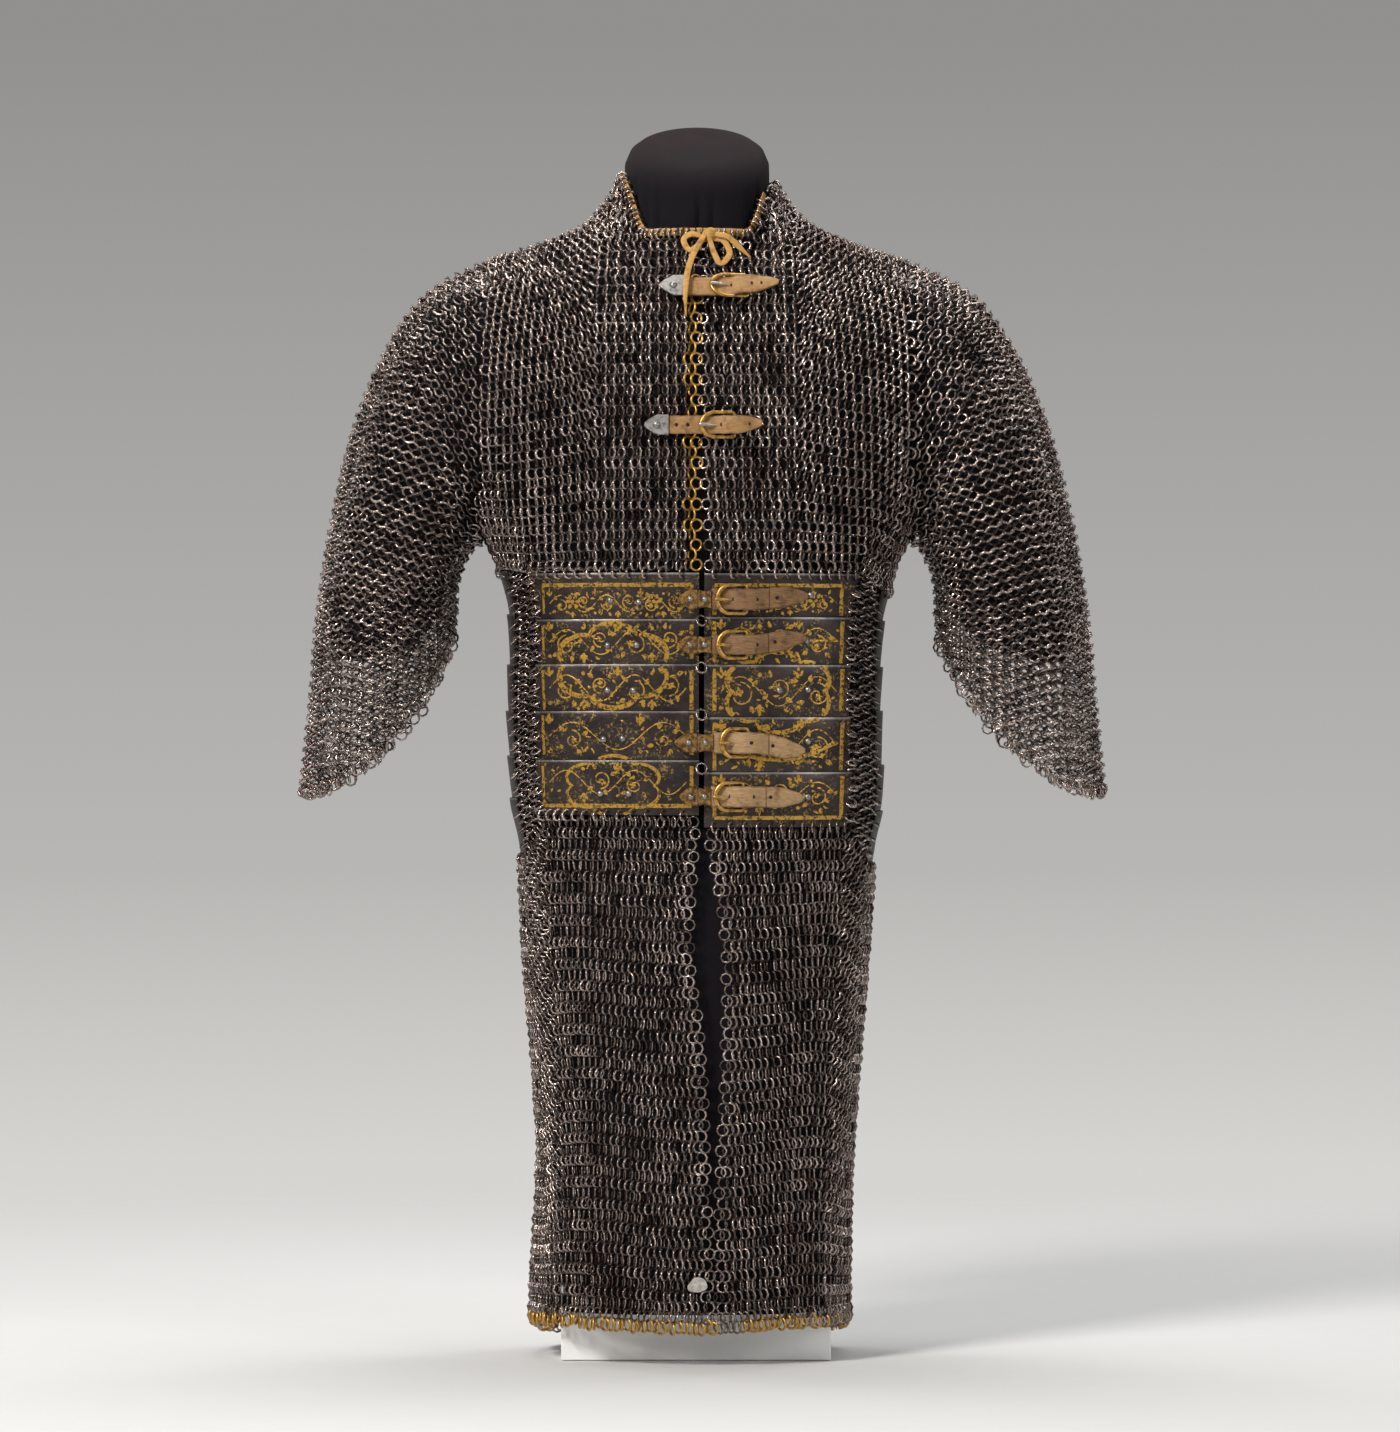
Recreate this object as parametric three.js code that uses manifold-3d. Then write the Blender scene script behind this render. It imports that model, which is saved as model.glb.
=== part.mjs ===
// A short-sleeved shirt of mail with steel plates at the waist, standing on a limbless dress form
// and a white block. Millimetres, +Z up, the front faces -Y and the wearer's left is +X.
// The cloth of rings is a wall as thick as its rings stand, open at neck, cuffs, slit and hem.
import * as THREE from 'three';
import { mergeVertices } from 'three/addons/utils/BufferGeometryUtils.js';
import Module from 'manifold-3d';

const wasm = await Module();
wasm.setup();

// Driving sizes
const MAIL = 6;                  // wall of mail: rings of 10 mm stand at about 55 degrees to it
const SEAM = 0.3;                // gap between pieces that meet
const SQUARENESS = 2.6;          // exponent of the torso's rounded sections
const ARMPIT_Z = 619;
const ARMSCYE_X = 162;           // the plane in which sleeve and chest meet
const ARMSCYE_DEPTH = 70;
const CHEST_FOOT_Z = 590;
const CHEST_TOP_Z = 599;         // where the mail of the back meets that of the waist
const WAIST_END_Z = 392;
const WAIST_Z = 490;               // where angles round the waist are taken from widths
const STEEL = 1.4;               // thickness of the plates
const SHINGLE = 2.6;             // how far a plate's top stands outside its foot
const PLATE_LAP = 6;             // how far a plate's foot reaches behind the next one
const NECK_RING = 60;            // radius of the collar's edge
const NECK_FRONT_Z = 841;
const NECK_BACK_Z = 889;
const FORM_CLEARANCE = 8;        // from the middle of the mail to the form
const FORM_REACH = 145;          // the form's shoulders end here, where its sleeve supports begin
const SHOULDER_SEAT = 3.9;       // the same on the shoulders, which carry the shirt
const PLUG = { radius: 55, foot: 780, top: 917, tilt: 0.43 };   // its top leans to the front, in radians
const BLOCK = { width: 203, depth: 84, height: 57 };
const SIDE_FRONT = 0.395 * Math.PI;   // angles round the waist, from the middle of the front
const SIDE_BACK = 0.70 * Math.PI;
const BACK_LEVEL = SIDE_BACK + 0.3;   // from here round the back the seams lie level
const LEATHER = 2.2;
const MOUNT_PLATE = 3.4;
const MAIL_LIFT = MAIL / 2 + 0.8;     // where leather lies on mail, from its middle
const PLATE_LIFT = STEEL / 2 + SHINGLE + 0.3;
const THONG = { width: 6, thickness: 1.8 };

// Half-widths and depths of the body from the block up to the shoulders
const BODY = [
  { z: 0, left: 125, right: 117, front: 90, back: 98 },
  { z: 56, left: 124, right: 116, front: 90, back: 98 },
  { z: 140, left: 119, right: 117, front: 90, back: 97 },
  { z: 200, left: 121, right: 120, front: 91, back: 96 },
  { z: 300, left: 129, right: 127, front: 93, back: 96 },
  { z: 390, left: 134, right: 134, front: 95, back: 96 },
  { z: 420, left: 139, right: 139, front: 96, back: 96 },
  { z: 490, left: 142, right: 138, front: 97, back: 97 },
  { z: 560, left: 141, right: 140, front: 98, back: 98 },
  { z: 600, left: 149, right: 149, front: 100, back: 100 },
  { z: 619, left: 158, right: 158, front: 101, back: 101 },
  { z: 640, left: 162, right: 162, front: 102, back: 103 },
  { z: 730, left: 162, right: 162, front: 102, back: 106 },
  { z: 900, left: 162, right: 162, front: 98, back: 104 },
];

// Height of the shoulder line out from the neck
const SHOULDER = [
  { x: 0, z: 902 }, { x: 58, z: 891 }, { x: 70, z: 873 }, { x: 80, z: 861 }, { x: 96, z: 851 },
  { x: 124, z: 840 }, { x: 162, z: 828 },
];

// The sleeve hangs between an outer line from the shoulder and an inner one from the armpit
const SLEEVE = [
  { along: 0.00, outerX: 162, outerZ: 828, innerX: 162, innerZ: 619, depth: 70 },
  { along: 0.12, outerX: 204, outerZ: 805, innerX: 172, innerZ: 611, depth: 70 },
  { along: 0.25, outerX: 236, outerZ: 760, innerX: 178, innerZ: 601, depth: 68 },
  { along: 0.40, outerX: 260, outerZ: 700, innerX: 182, innerZ: 590, depth: 66 },
  { along: 0.55, outerX: 276, outerZ: 632, innerX: 184, innerZ: 579, depth: 63 },
  { along: 0.70, outerX: 287, outerZ: 562, innerX: 184, innerZ: 568, depth: 60 },
  { along: 0.85, outerX: 293, outerZ: 492, innerX: 185, innerZ: 557, depth: 57 },
  { along: 1.00, outerX: 300, outerZ: 427, innerX: 187, innerZ: 547, depth: 54 },
];
const SLEEVE_REACH = { left: 1, right: 1.065 };
const CUFF_DROOP = 26;           // how far the cuff's front and back hang below its ends
const PAD_END = 0.78;            // how far down the sleeve its support reaches

// Edges of the slit in the front of the skirt
const SLIT = [
  { z: 20, left: 14, right: 15 }, { z: 80, left: 11, right: 14.5 }, { z: 140, left: 8, right: 15.7 },
  { z: 200, left: 6.5, right: 18.7 }, { z: 258, left: 2, right: 20 }, { z: 303, left: -3.7, right: 20 },
  { z: 348, left: -3, right: 15.7 }, { z: 392, left: 0, right: 8 }, { z: 411, left: 2, right: 6 },
];

// Edges of the opening down the chest
const OPENING = [
  { z: CHEST_FOOT_Z, left: 4, right: 10 }, { z: 610, left: 4, right: 8 }, { z: 640, left: 4, right: 5 },
  { z: 790, left: 4, right: 5 }, { z: 815, left: 3, right: 8 }, { z: 845, left: 1, right: 14 },
];

// Soft upright folds in the skirt: angle round it, width as an angle, depth at the hem
const SKIRT_FOLDS = [
  { at: -2.75, width: 0.20, depth: 4 }, { at: -2.25, width: 0.16, depth: 3 },
  { at: -1.72, width: 0.20, depth: 4 }, { at: -1.18, width: 0.14, depth: 3 },
  { at: -0.82, width: 0.16, depth: 4 }, { at: -0.42, width: 0.14, depth: 3 },
  { at: 0.36, width: 0.12, depth: 3 }, { at: 0.72, width: 0.16, depth: 4 },
  { at: 1.14, width: 0.16, depth: 3 }, { at: 1.60, width: 0.20, depth: 4 },
  { at: 2.10, width: 0.18, depth: 4 }, { at: 2.62, width: 0.20, depth: 3 },
];
const FOLD_TOP_Z = 300;

// Tops of the plates, with the foot of the last one
const FRONT_PLATES = {
  left: { inner: 1.5, outer: 116, tops: [591.5, 557, 523.5, 488.5, 452, 411] },
  right: { inner: 5.3, outer: 113, tops: [591, 558.5, 523, 484, 443, 402] },
};
const SIDE_PLATES = {
  left: [594, 562, 524, 489, 455, 423, 381.5],
  right: [579, 557, 522, 489, 448, 413, 375],
};

// Fastenings: a pointed mount on the wearer's right, a buckle, and a strap whose tip hangs free
const CLOSURES = [
  { name: 'chest_upper', z: 803, tip: -26.7, end: -7.4, buckle: 9.7, width: 29, strap: 13.4, tail: 60,
    rise: 3.5, lift: MAIL_LIFT },
  { name: 'chest_lower', z: 701, tip: -38.6, end: -20.8, buckle: 2.3, width: 27, strap: 13.4, tail: 48.5,
    rise: 1.5, lift: MAIL_LIFT },
  { name: 'waist_1', z: 572, tip: -13.3, end: 10.5, buckle: 14.2, width: 24, strap: 16, tail: 81,
    rise: 2.5, lift: PLATE_LIFT },
  { name: 'waist_2', z: 538, tip: -14.1, end: 10.5, buckle: 14.9, width: 23.5, strap: 15, tail: 79.7,
    rise: 5, lift: PLATE_LIFT },
  { name: 'waist_4', z: 465, tip: -16.3, end: 12, buckle: 17.2, width: 22, strap: 16, tail: 79,
    rise: -6, lift: PLATE_LIFT },
  { name: 'waist_5', z: 425, tip: -12.6, end: 10, buckle: 12.7, width: 23, strap: 15.5, tail: 77.5,
    rise: -1, lift: PLATE_LIFT },
];

const PAINT = {
  mail: { color: 0x4a423e, roughness: 0.45, metalness: 0.9 },
  steel: { color: 0x5a4f48, roughness: 0.42, metalness: 0.9 },
  gilt: { color: 0xb08a3c, roughness: 0.4, metalness: 0.9 },
  leather: { color: 0xa9834f, roughness: 0.7, metalness: 0 },
  thong: { color: 0xc99a52, roughness: 0.75, metalness: 0 },
  felt: { color: 0x2b2a2e, roughness: 0.95, metalness: 0 },
  block: { color: 0xe9e9e7, roughness: 0.7, metalness: 0 },
  tag: { color: 0xb9b4aa, roughness: 0.6, metalness: 0.2 },
};

const group = new THREE.Group();
const mix = (from, to, share) => from + (to - from) * share;
const clamp = (value) => Math.min(1, Math.max(0, value));
const smooth = (from, to, value) => THREE.MathUtils.smoothstep(value, from, to);
const power = (value, exponent) => Math.sign(value) * Math.pow(Math.abs(value), exponent);

/** Reads a column of a table between its rows, along a smooth curve. */
function read(table, key, column, at) {
  const last = table.length - 1;
  const place = THREE.MathUtils.clamp(at, table[0][key], table[last][key]);
  let row = 0;
  while (row < last - 1 && table[row + 1][key] < place) row += 1;
  const slope = (index) => {
    const before = table[Math.max(0, index - 1)];
    const after = table[Math.min(last, index + 1)];
    return (after[column] - before[column]) / (after[key] - before[key]);
  };
  const span = table[row + 1][key] - table[row][key];
  const t = (place - table[row][key]) / span;
  const ease = t * t * (3 - 2 * t);
  const bend = t * (1 - t) * span;
  return mix(table[row][column], table[row + 1][column], ease)
    + bend * (slope(row) * (1 - t) - slope(row + 1) * t);
}

/** Half-width of the body on the side of x, at height z. */
const halfWidth = (x, z) => read(BODY, 'z', x < 0 ? 'left' : 'right', z);

/** Distance of the mail from the plane of the arms, at x and z, on the front or the back. */
function bodyDepth(x, z, face) {
  const depth = read(BODY, 'z', face, z);
  const share = clamp(Math.abs(x) / halfWidth(x, z));
  const across = Math.max(0, 1 - Math.pow(share, SQUARENESS));
  const top = read(SHOULDER, 'x', 'z', Math.abs(x));
  const rise = clamp((z - ARMPIT_Z) / (top - ARMPIT_Z));
  const low = rise < 0.5 ? Math.sqrt(1 - (1 - 2 * rise) ** 2) : 1;
  const edge = ARMSCYE_DEPTH * low;
  const roundness = mix(1 / SQUARENESS, 0.8, low);
  const dome = rise > 0.5 ? 1 - (2 * rise - 1) ** 2 : 1;
  const closing = Math.pow(dome, mix(1.05, 0.5, smooth(40, 120, Math.abs(x))));
  return closing * (edge + (depth - edge) * Math.pow(across, roundness));
}

/** Depth of the soft folds at an angle round the skirt. */
function foldDepth(angle, z) {
  const fade = 1 - smooth(40, FOLD_TOP_Z, z);
  return SKIRT_FOLDS.reduce((sum, fold) =>
    sum + fold.depth * fade * Math.exp(-(((angle - fold.at) / fold.width) ** 2)), 0);
}

/** The body's x at an angle from the middle of the front, positive to +X. */
const bodyX = (angle, z) => power(Math.sin(angle), 2 / SQUARENESS) * halfWidth(Math.sin(angle), z);

/** The angle at which the body's section passes x on the front. */
const angleAt = (x, z) =>
  Math.sign(x) * Math.asin(Math.pow(clamp(Math.abs(x) / halfWidth(x, z)), SQUARENESS / 2));

/** A point of the body's mail at an angle and height. */
function bodyPoint(angle, z) {
  const face = Math.cos(angle) >= 0 ? 'front' : 'back';
  const x = bodyX(angle, z);
  const y = bodyDepth(x, z, face) * (face === 'front' ? -1 : 1);
  const shrink = foldDepth(angle, z) / Math.hypot(x, y || 1);
  return new THREE.Vector3(x * (1 - shrink), y * (1 - shrink), z);
}

/** Top edge of the mail at x: the collar's edge near the neck, the shoulder line beyond. */
function topZ(x, face) {
  const reach = Math.abs(x);
  if (reach >= NECK_RING) return read(SHOULDER, 'x', 'z', reach);
  const low = face === 'front' ? NECK_FRONT_Z : NECK_BACK_Z;
  return mix(low, read(SHOULDER, 'x', 'z', NECK_RING), smooth(38, NECK_RING, reach));
}

/** Depth of the chest or back at x and z, drawn in to the collar's ring, v of the way up to it. */
function collarDepth(x, z, face, v) {
  const pull = v ** 3 * (1 - smooth(40, 72, Math.abs(x)));
  const ring = Math.sqrt(Math.max(0, NECK_RING ** 2 - x * x));
  return Math.max(mix(bodyDepth(x, z, face), ring, pull), ring);
}

/** A point of the chest or back, v from its foot to its top edge. */
function upperPoint(angle, v, foot, face) {
  const x = power(Math.sin(angle), 2 / SQUARENESS) * ARMSCYE_X;
  const z = mix(foot, topZ(x, face), Math.sin(v * Math.PI / 2));
  const wide = x * Math.min(1, halfWidth(x, z) / ARMSCYE_X);
  const depth = collarDepth(wide, z, face, v);
  return new THREE.Vector3(wide, face === 'front' ? -depth : depth, z);
}

/** Depth of the front's mail at x and z, from hem to collar. */
function frontDepth(x, z) {
  const foot = FRONT_PLATES.left.tops[0];
  if (z < foot) return bodyDepth(x, z, 'front');
  const v = Math.asin(clamp((z - foot) / (topZ(x, 'front') - foot))) / (Math.PI / 2);
  return collarDepth(x, z, 'front', v);
}

/** A point of a sleeve: along it from the armscye to the cuff, round it from its outer line. */
function sleevePoint(along, round, side, inset = 0) {
  const at = (column) => read(SLEEVE, 'along', column, along);
  const reach = SLEEVE_REACH[side];
  const outerX = ARMSCYE_X + (at('outerX') - ARMSCYE_X) * reach;
  const innerX = ARMSCYE_X + (at('innerX') - ARMSCYE_X) / reach;
  const half = new THREE.Vector2(outerX - innerX, at('outerZ') - at('innerZ')).multiplyScalar(0.5);
  const down = new THREE.Vector2(half.y, -half.x).normalize();
  half.setLength(half.length() - inset);
  const droop = CUFF_DROOP * along ** 3 * Math.abs(Math.sin(round)) ** 1.5;
  const x = (outerX + innerX) / 2 + half.x * Math.cos(round) + down.x * droop * 0.4;
  const z = (at('outerZ') + at('innerZ')) / 2 + half.y * Math.cos(round) - Math.abs(down.y) * droop
    - (1 - Math.abs(down.y)) * droop;
  const y = -(at('depth') - inset) * power(Math.sin(round), 0.9);
  return new THREE.Vector3(side === 'left' ? -x : x, y, z);
}

/** Makes a geometry from points and triangles, turned so that its faces point out. */
function geometryFrom(points, triangles) {
  const volume = triangles.reduce((sum, [a, b, c]) =>
    sum + points[a].dot(points[b].clone().cross(points[c])), 0);
  const order = volume < 0 ? triangles.map(([a, b, c]) => [a, c, b]) : triangles;
  const geometry = new THREE.BufferGeometry().setFromPoints(points);
  geometry.setIndex(order.flat());
  geometry.computeVertexNormals();
  return geometry;
}

/** Direction out of a surface at (u, v), from its slopes. */
function surfaceNormal(surface, u, v) {
  const step = 0.004;
  const along = surface(Math.min(1, u + step), v).sub(surface(Math.max(0, u - step), v));
  const up = surface(u, Math.min(1, v + step)).sub(surface(u, Math.max(0, v - step)));
  return along.cross(up).normalize();
}

/**
 * A closed wall on a surface over u and v from 0 to 1. lift moves its middle out, turn changes
 * a normal at an edge, trim keeps a point on its side of a seam, and loop joins the last column
 * to the first.
 */
function wall({ surface, columns, rows, thickness, lift = () => 0, turn, trim, loop = false }) {
  const points = [];
  const count = loop ? columns : columns + 1;
  const centre = surface(0.5, 0.5);
  const outward = surfaceNormal(surface, 0.5, 0.5).dot(new THREE.Vector3(centre.x, centre.y, 0));
  const away = Math.sign(outward || 1);
  for (const side of [0.5, -0.5]) {
    for (let i = 0; i < count; i += 1) {
      for (let j = 0; j <= rows; j += 1) {
        const [u, v] = [i / columns, j / rows];
        const normal = surfaceNormal(surface, u, v).multiplyScalar(away);
        const point = surface(u, v);
        if (turn) turn(normal, u, v, point);
        point.addScaledVector(normal.normalize(), lift(u, v) + side * thickness);
        if (trim) trim(point);
        points.push(point);
      }
    }
  }
  const layer = count * (rows + 1);
  const at = (i, j, inner) => (i % count) * (rows + 1) + j + (inner ? layer : 0);
  const triangles = [];
  const quad = (a, b, c, d) => triangles.push([a, b, c], [a, c, d]);
  for (let i = 0; i < columns; i += 1) {
    for (let j = 0; j < rows; j += 1) {
      quad(at(i, j), at(i + 1, j), at(i + 1, j + 1), at(i, j + 1));
      quad(at(i, j + 1, true), at(i + 1, j + 1, true), at(i + 1, j, true), at(i, j, true));
    }
    quad(at(i, 0, true), at(i + 1, 0, true), at(i + 1, 0), at(i, 0));
    quad(at(i, rows), at(i + 1, rows), at(i + 1, rows, true), at(i, rows, true));
  }
  for (let j = 0; j < rows && !loop; j += 1) {
    quad(at(0, j), at(0, j + 1), at(0, j + 1, true), at(0, j, true));
    quad(at(columns, j, true), at(columns, j + 1, true), at(columns, j + 1), at(columns, j));
  }
  return geometryFrom(points, triangles);
}

/** A closed solid through rings of equally many points. */
function loft(rings) {
  const sides = rings[0].length;
  const points = rings.flat();
  const triangles = [];
  for (let ring = 0; ring < rings.length - 1; ring += 1) {
    for (let i = 0; i < sides; i += 1) {
      const a = ring * sides + i;
      const b = ring * sides + (i + 1) % sides;
      triangles.push([a, b, b + sides], [a, b + sides, a + sides]);
    }
  }
  for (const [ring, turned] of [[0, true], [rings.length - 1, false]]) {
    const hub = points.length;
    const sum = rings[ring].reduce((total, point) => total.add(point), new THREE.Vector3());
    points.push(sum.divideScalar(sides));
    for (let i = 0; i < sides; i += 1) {
      const pair = [ring * sides + i, ring * sides + (i + 1) % sides];
      triangles.push(turned ? [hub, pair[1], pair[0]] : [hub, pair[0], pair[1]]);
    }
  }
  return geometryFrom(points, triangles);
}

/** Turns a closed geometry into a solid that can be joined and cut. */
function solid(geometry) {
  const bare = geometry.clone();
  bare.deleteAttribute('normal');
  bare.deleteAttribute('uv');
  const merged = mergeVertices(bare, 1e-4);
  return new wasm.Manifold(new wasm.Mesh({
    numProp: 3,
    vertProperties: new Float32Array(merged.attributes.position.array),
    triVerts: new Uint32Array(merged.index.array),
  }));
}

/** Turns a solid back into a geometry. */
function geometryOf(body) {
  const mesh = body.getMesh();
  const geometry = new THREE.BufferGeometry();
  geometry.setAttribute('position', new THREE.BufferAttribute(new Float32Array(mesh.vertProperties), 3));
  geometry.setIndex(Array.from(mesh.triVerts));
  geometry.computeVertexNormals();
  return geometry;
}

const joined = (...geometries) =>
  geometryOf(geometries.slice(1).reduce((body, next) => body.add(solid(next)), solid(geometries[0])));

/** Adds a named piece with its finish. */
function addPiece(name, geometry, finish) {
  const mesh = new THREE.Mesh(geometry, new THREE.MeshStandardMaterial(PAINT[finish]));
  mesh.name = name;
  group.add(mesh);
}

const SIDES = ['left', 'right'];
const signOf = (side) => (side === 'left' ? -1 : 1);

const SEAM_ANGLE = SEAM / halfWidth(1, WAIST_Z);
const wrapped = (angle) => (angle > Math.PI ? angle - 2 * Math.PI : angle);
const sideOf = (angle) => (wrapped(angle) < 0 ? 'left' : 'right');
const plateEdge = (side) => Math.abs(angleAt(FRONT_PLATES[side].outer, WAIST_Z));

/** Height of a seam round the body, between its levels in front, at the side and behind. */
function seamZ(angle, front, flank, back) {
  const turn = Math.abs(wrapped(angle));
  const inner = plateEdge(sideOf(angle));
  const toFlank = mix(front, flank, clamp((turn - inner) / (SIDE_FRONT - inner)));
  return mix(toFlank, back, clamp((turn - SIDE_BACK) / (BACK_LEVEL - SIDE_BACK)));
}

/** Top of the skirt at an angle: the feet of the plates, level behind. */
function skirtTop(angle, side = sideOf(angle)) {
  return seamZ(angle, FRONT_PLATES[side].tops.at(-1), SIDE_PLATES[side].at(-1), WAIST_END_Z) - SEAM;
}

/** Foot of the chest at an angle: the tops of the plates, level behind. */
function chestFoot(angle, side = sideOf(angle)) {
  return seamZ(angle, FRONT_PLATES[side].tops[0], SIDE_PLATES[side][0], CHEST_TOP_Z) + SEAM;
}

/** Values in even steps between knots, which are listed with the steps up to them. */
function stepsBetween(start, ...stretches) {
  const values = [start];
  for (const { to, steps } of stretches) {
    const from = values.at(-1);
    for (let i = 1; i <= steps; i += 1) values.push(mix(from, to, i / steps));
  }
  return values;
}

/** The value between the steps of a list, for u from 0 to 1. */
function stepAt(values, u) {
  const place = clamp(u) * (values.length - 1);
  const column = Math.min(Math.floor(place), values.length - 2);
  return mix(values[column], values[column + 1], place - column);
}

const chestAngle = (x) => Math.sign(x) * Math.asin(Math.pow(Math.abs(x) / ARMSCYE_X, SQUARENESS / 2));
const NECK_COLUMN = NECK_RING + 1;

/** Angles round the back, from the right side seam to the left one. */
const BACK_ANGLES = stepsBetween(
  Math.PI / 2,
  { to: SIDE_BACK, steps: 4 }, { to: BACK_LEVEL, steps: 2 },
  { to: Math.PI - chestAngle(NECK_COLUMN), steps: 3 }, { to: Math.PI + chestAngle(NECK_COLUMN), steps: 8 },
  { to: 2 * Math.PI - BACK_LEVEL, steps: 3 }, { to: 2 * Math.PI - SIDE_BACK, steps: 2 },
  { to: 1.5 * Math.PI, steps: 4 },
);

/** Squares the ends of a chest or back wall to its neighbours, and to the collar's round edge. */
function squareUpper(normal, u, v, point) {
  const atArmscye = Math.abs(point.x) > ARMSCYE_X - 0.6 && point.z > ARMPIT_Z + 6;
  if (atArmscye) normal.x = 0;
  if (v === 0) normal.z = 0;
  if (v === 1 && Math.abs(point.x) < NECK_RING) normal.set(point.x, point.y, 0);
  else if (v === 1) normal.y = 0;
  else if (Math.abs(point.y) < 1) normal.set(Math.sign(point.x), 0, 0);
}

/** Keeps a chest or back wall on its side of the shoulder seam and of the armscyes. */
function trimUpper(sign) {
  const reach = ARMSCYE_X - SEAM / 2;
  return (point) => {
    point.x = THREE.MathUtils.clamp(point.x, -reach, reach);
    point.y = sign < 0 ? Math.min(point.y, -SEAM / 2) : Math.max(point.y, SEAM / 2);
  };
}

/** One half of the chest, from the opening to the armscye. */
function chestHalf(side) {
  const sign = signOf(side);
  const angles = (v) => {
    const edgeZ = mix(CHEST_FOOT_Z, NECK_FRONT_Z, v);
    return stepsBetween(
      chestAngle(read(OPENING, 'z', side, edgeZ)),
      { to: sign * chestAngle(NECK_COLUMN), steps: 5 }, { to: sign * plateEdge(side), steps: 3 },
      { to: sign * SIDE_FRONT, steps: 2 }, { to: sign * (Math.PI / 2), steps: 3 },
    );
  };
  const surface = (u, v) => {
    const angle = stepAt(angles(v), u);
    return upperPoint(angle, v, chestFoot(angle, side), 'front');
  };
  return wall({
    surface, columns: 13, rows: 12, thickness: MAIL, turn: squareUpper, trim: trimUpper(-1),
  });
}

/** The whole back, from armscye to armscye. */
function backPanel() {
  const surface = (u, v) => {
    const angle = stepAt(BACK_ANGLES, u);
    return upperPoint(angle, v, chestFoot(angle), 'back');
  };
  return wall({
    surface, columns: BACK_ANGLES.length - 1, rows: 11, thickness: MAIL,
    turn: squareUpper, trim: trimUpper(1),
  });
}

/** A sleeve, open at the armscye and at its slanting cuff. */
function sleeve(side) {
  const sign = signOf(side);
  const reach = ARMSCYE_X + SEAM / 2;
  const surface = (u, v) => sleevePoint(v, u * 2 * Math.PI, side);
  const turn = (normal, u, v) => {
    if (v === 0) normal.x = 0;
  };
  const trim = (point) => {
    point.x = sign * Math.max(reach, sign * point.x);
  };
  return wall({ surface, columns: 22, rows: 12, thickness: MAIL, turn, trim, loop: true });
}

/** A strip of body mail over a list of angles, which may change with v, between two heights. */
function bodyStrip({ angles, foot, top, rows }) {
  const surface = (u, v) => {
    const angle = stepAt(angles(v), u);
    return bodyPoint(angle, mix(foot(angle), top(angle), v));
  };
  const turn = (normal, u, v) => {
    if (v === 0 || v === 1) normal.z = 0;
  };
  return wall({ surface, columns: angles(0).length - 1, rows, thickness: MAIL, turn });
}

/** Mail between the front plates and the side plates of one side. */
function flank(side) {
  const sign = signOf(side);
  const start = sign * (plateEdge(side) + 2 * SEAM_ANGLE);
  return bodyStrip({
    angles: () => stepsBetween(start, { to: sign * (SIDE_FRONT - SEAM_ANGLE), steps: 2 }),
    foot: (angle) => skirtTop(angle) + 2 * SEAM,
    top: (angle) => chestFoot(angle) - 2 * SEAM,
    rows: 8,
  });
}

/** Mail of the waist behind, between the side plates. */
function waistBack() {
  const angles = BACK_ANGLES.slice(4, -4);
  angles[0] += 3 * SEAM_ANGLE;
  angles[angles.length - 1] -= 3 * SEAM_ANGLE;
  return bodyStrip({
    angles: () => angles,
    foot: (angle) => skirtTop(angle) + 2 * SEAM,
    top: (angle) => chestFoot(angle) - 2 * SEAM,
    rows: 6,
  });
}

/** The skirt's hem at an angle: it drops behind, and a little to the middle of the front. */
const hemZ = (angle) => 27 - 3 * Math.exp(-((angle / 0.3) ** 2)) - 17 * smooth(1.3, 2.3, Math.abs(angle));

/** One half of the skirt's front, from the slit to the side seam. */
function skirtHalf(side) {
  const sign = signOf(side);
  return bodyStrip({
    angles: (v) => {
      const z = mix(hemZ(0), skirtTop(0, side), v);
      return stepsBetween(
        angleAt(read(SLIT, 'z', side, z), z),
        { to: sign * plateEdge(side), steps: 6 }, { to: sign * SIDE_FRONT, steps: 2 },
        { to: sign * (Math.PI / 2 - SEAM_ANGLE), steps: 3 },
      );
    },
    foot: hemZ,
    top: (angle) => skirtTop(angle, side),
    rows: 11,
  });
}

/** The skirt's back, from side seam to side seam. */
function skirtBack() {
  const angles = BACK_ANGLES.slice();
  angles[0] += SEAM_ANGLE;
  angles[angles.length - 1] -= SEAM_ANGLE;
  return bodyStrip({
    angles: () => angles,
    foot: (angle) => hemZ(wrapped(angle)),
    top: (angle) => skirtTop(angle),
    rows: 10,
  });
}

/** A curved plate: its top stands outside the foot of the plate above it. */
function plate({ from, to, foot, top, columns }) {
  const surface = (u, v) => bodyPoint(mix(from, to, u), mix(foot, top, v));
  const turn = (normal) => {
    normal.z = 0;
  };
  return wall({ surface, columns, rows: 2, thickness: STEEL, lift: (u, v) => SHINGLE * v, turn });
}

/** Adds one column of plates, each row a piece of its own. */
function addPlates(name, side, tops, from, to, columns) {
  for (let row = 0; row < tops.length - 1; row += 1) {
    const last = row === tops.length - 2;
    const foot = tops[row + 1] - (last ? 0 : PLATE_LAP);
    const geometry = plate({ from, to, foot, top: tops[row], columns });
    addPiece(`${name}_${side}_${row + 1}`, geometry, 'steel');
  }
}

/** A point over the front, moved out from the middle of the mail. */
function onFront(x, z, lift) {
  const spot = (dx, dz) => new THREE.Vector3(x + dx, -frontDepth(x + dx, z + dz), z + dz);
  const normal = spot(1, 0).sub(spot(-1, 0)).cross(spot(0, 1).sub(spot(0, -1))).normalize();
  if (normal.y > 0) normal.negate();
  return spot(0, 0).addScaledVector(normal, lift);
}

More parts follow.
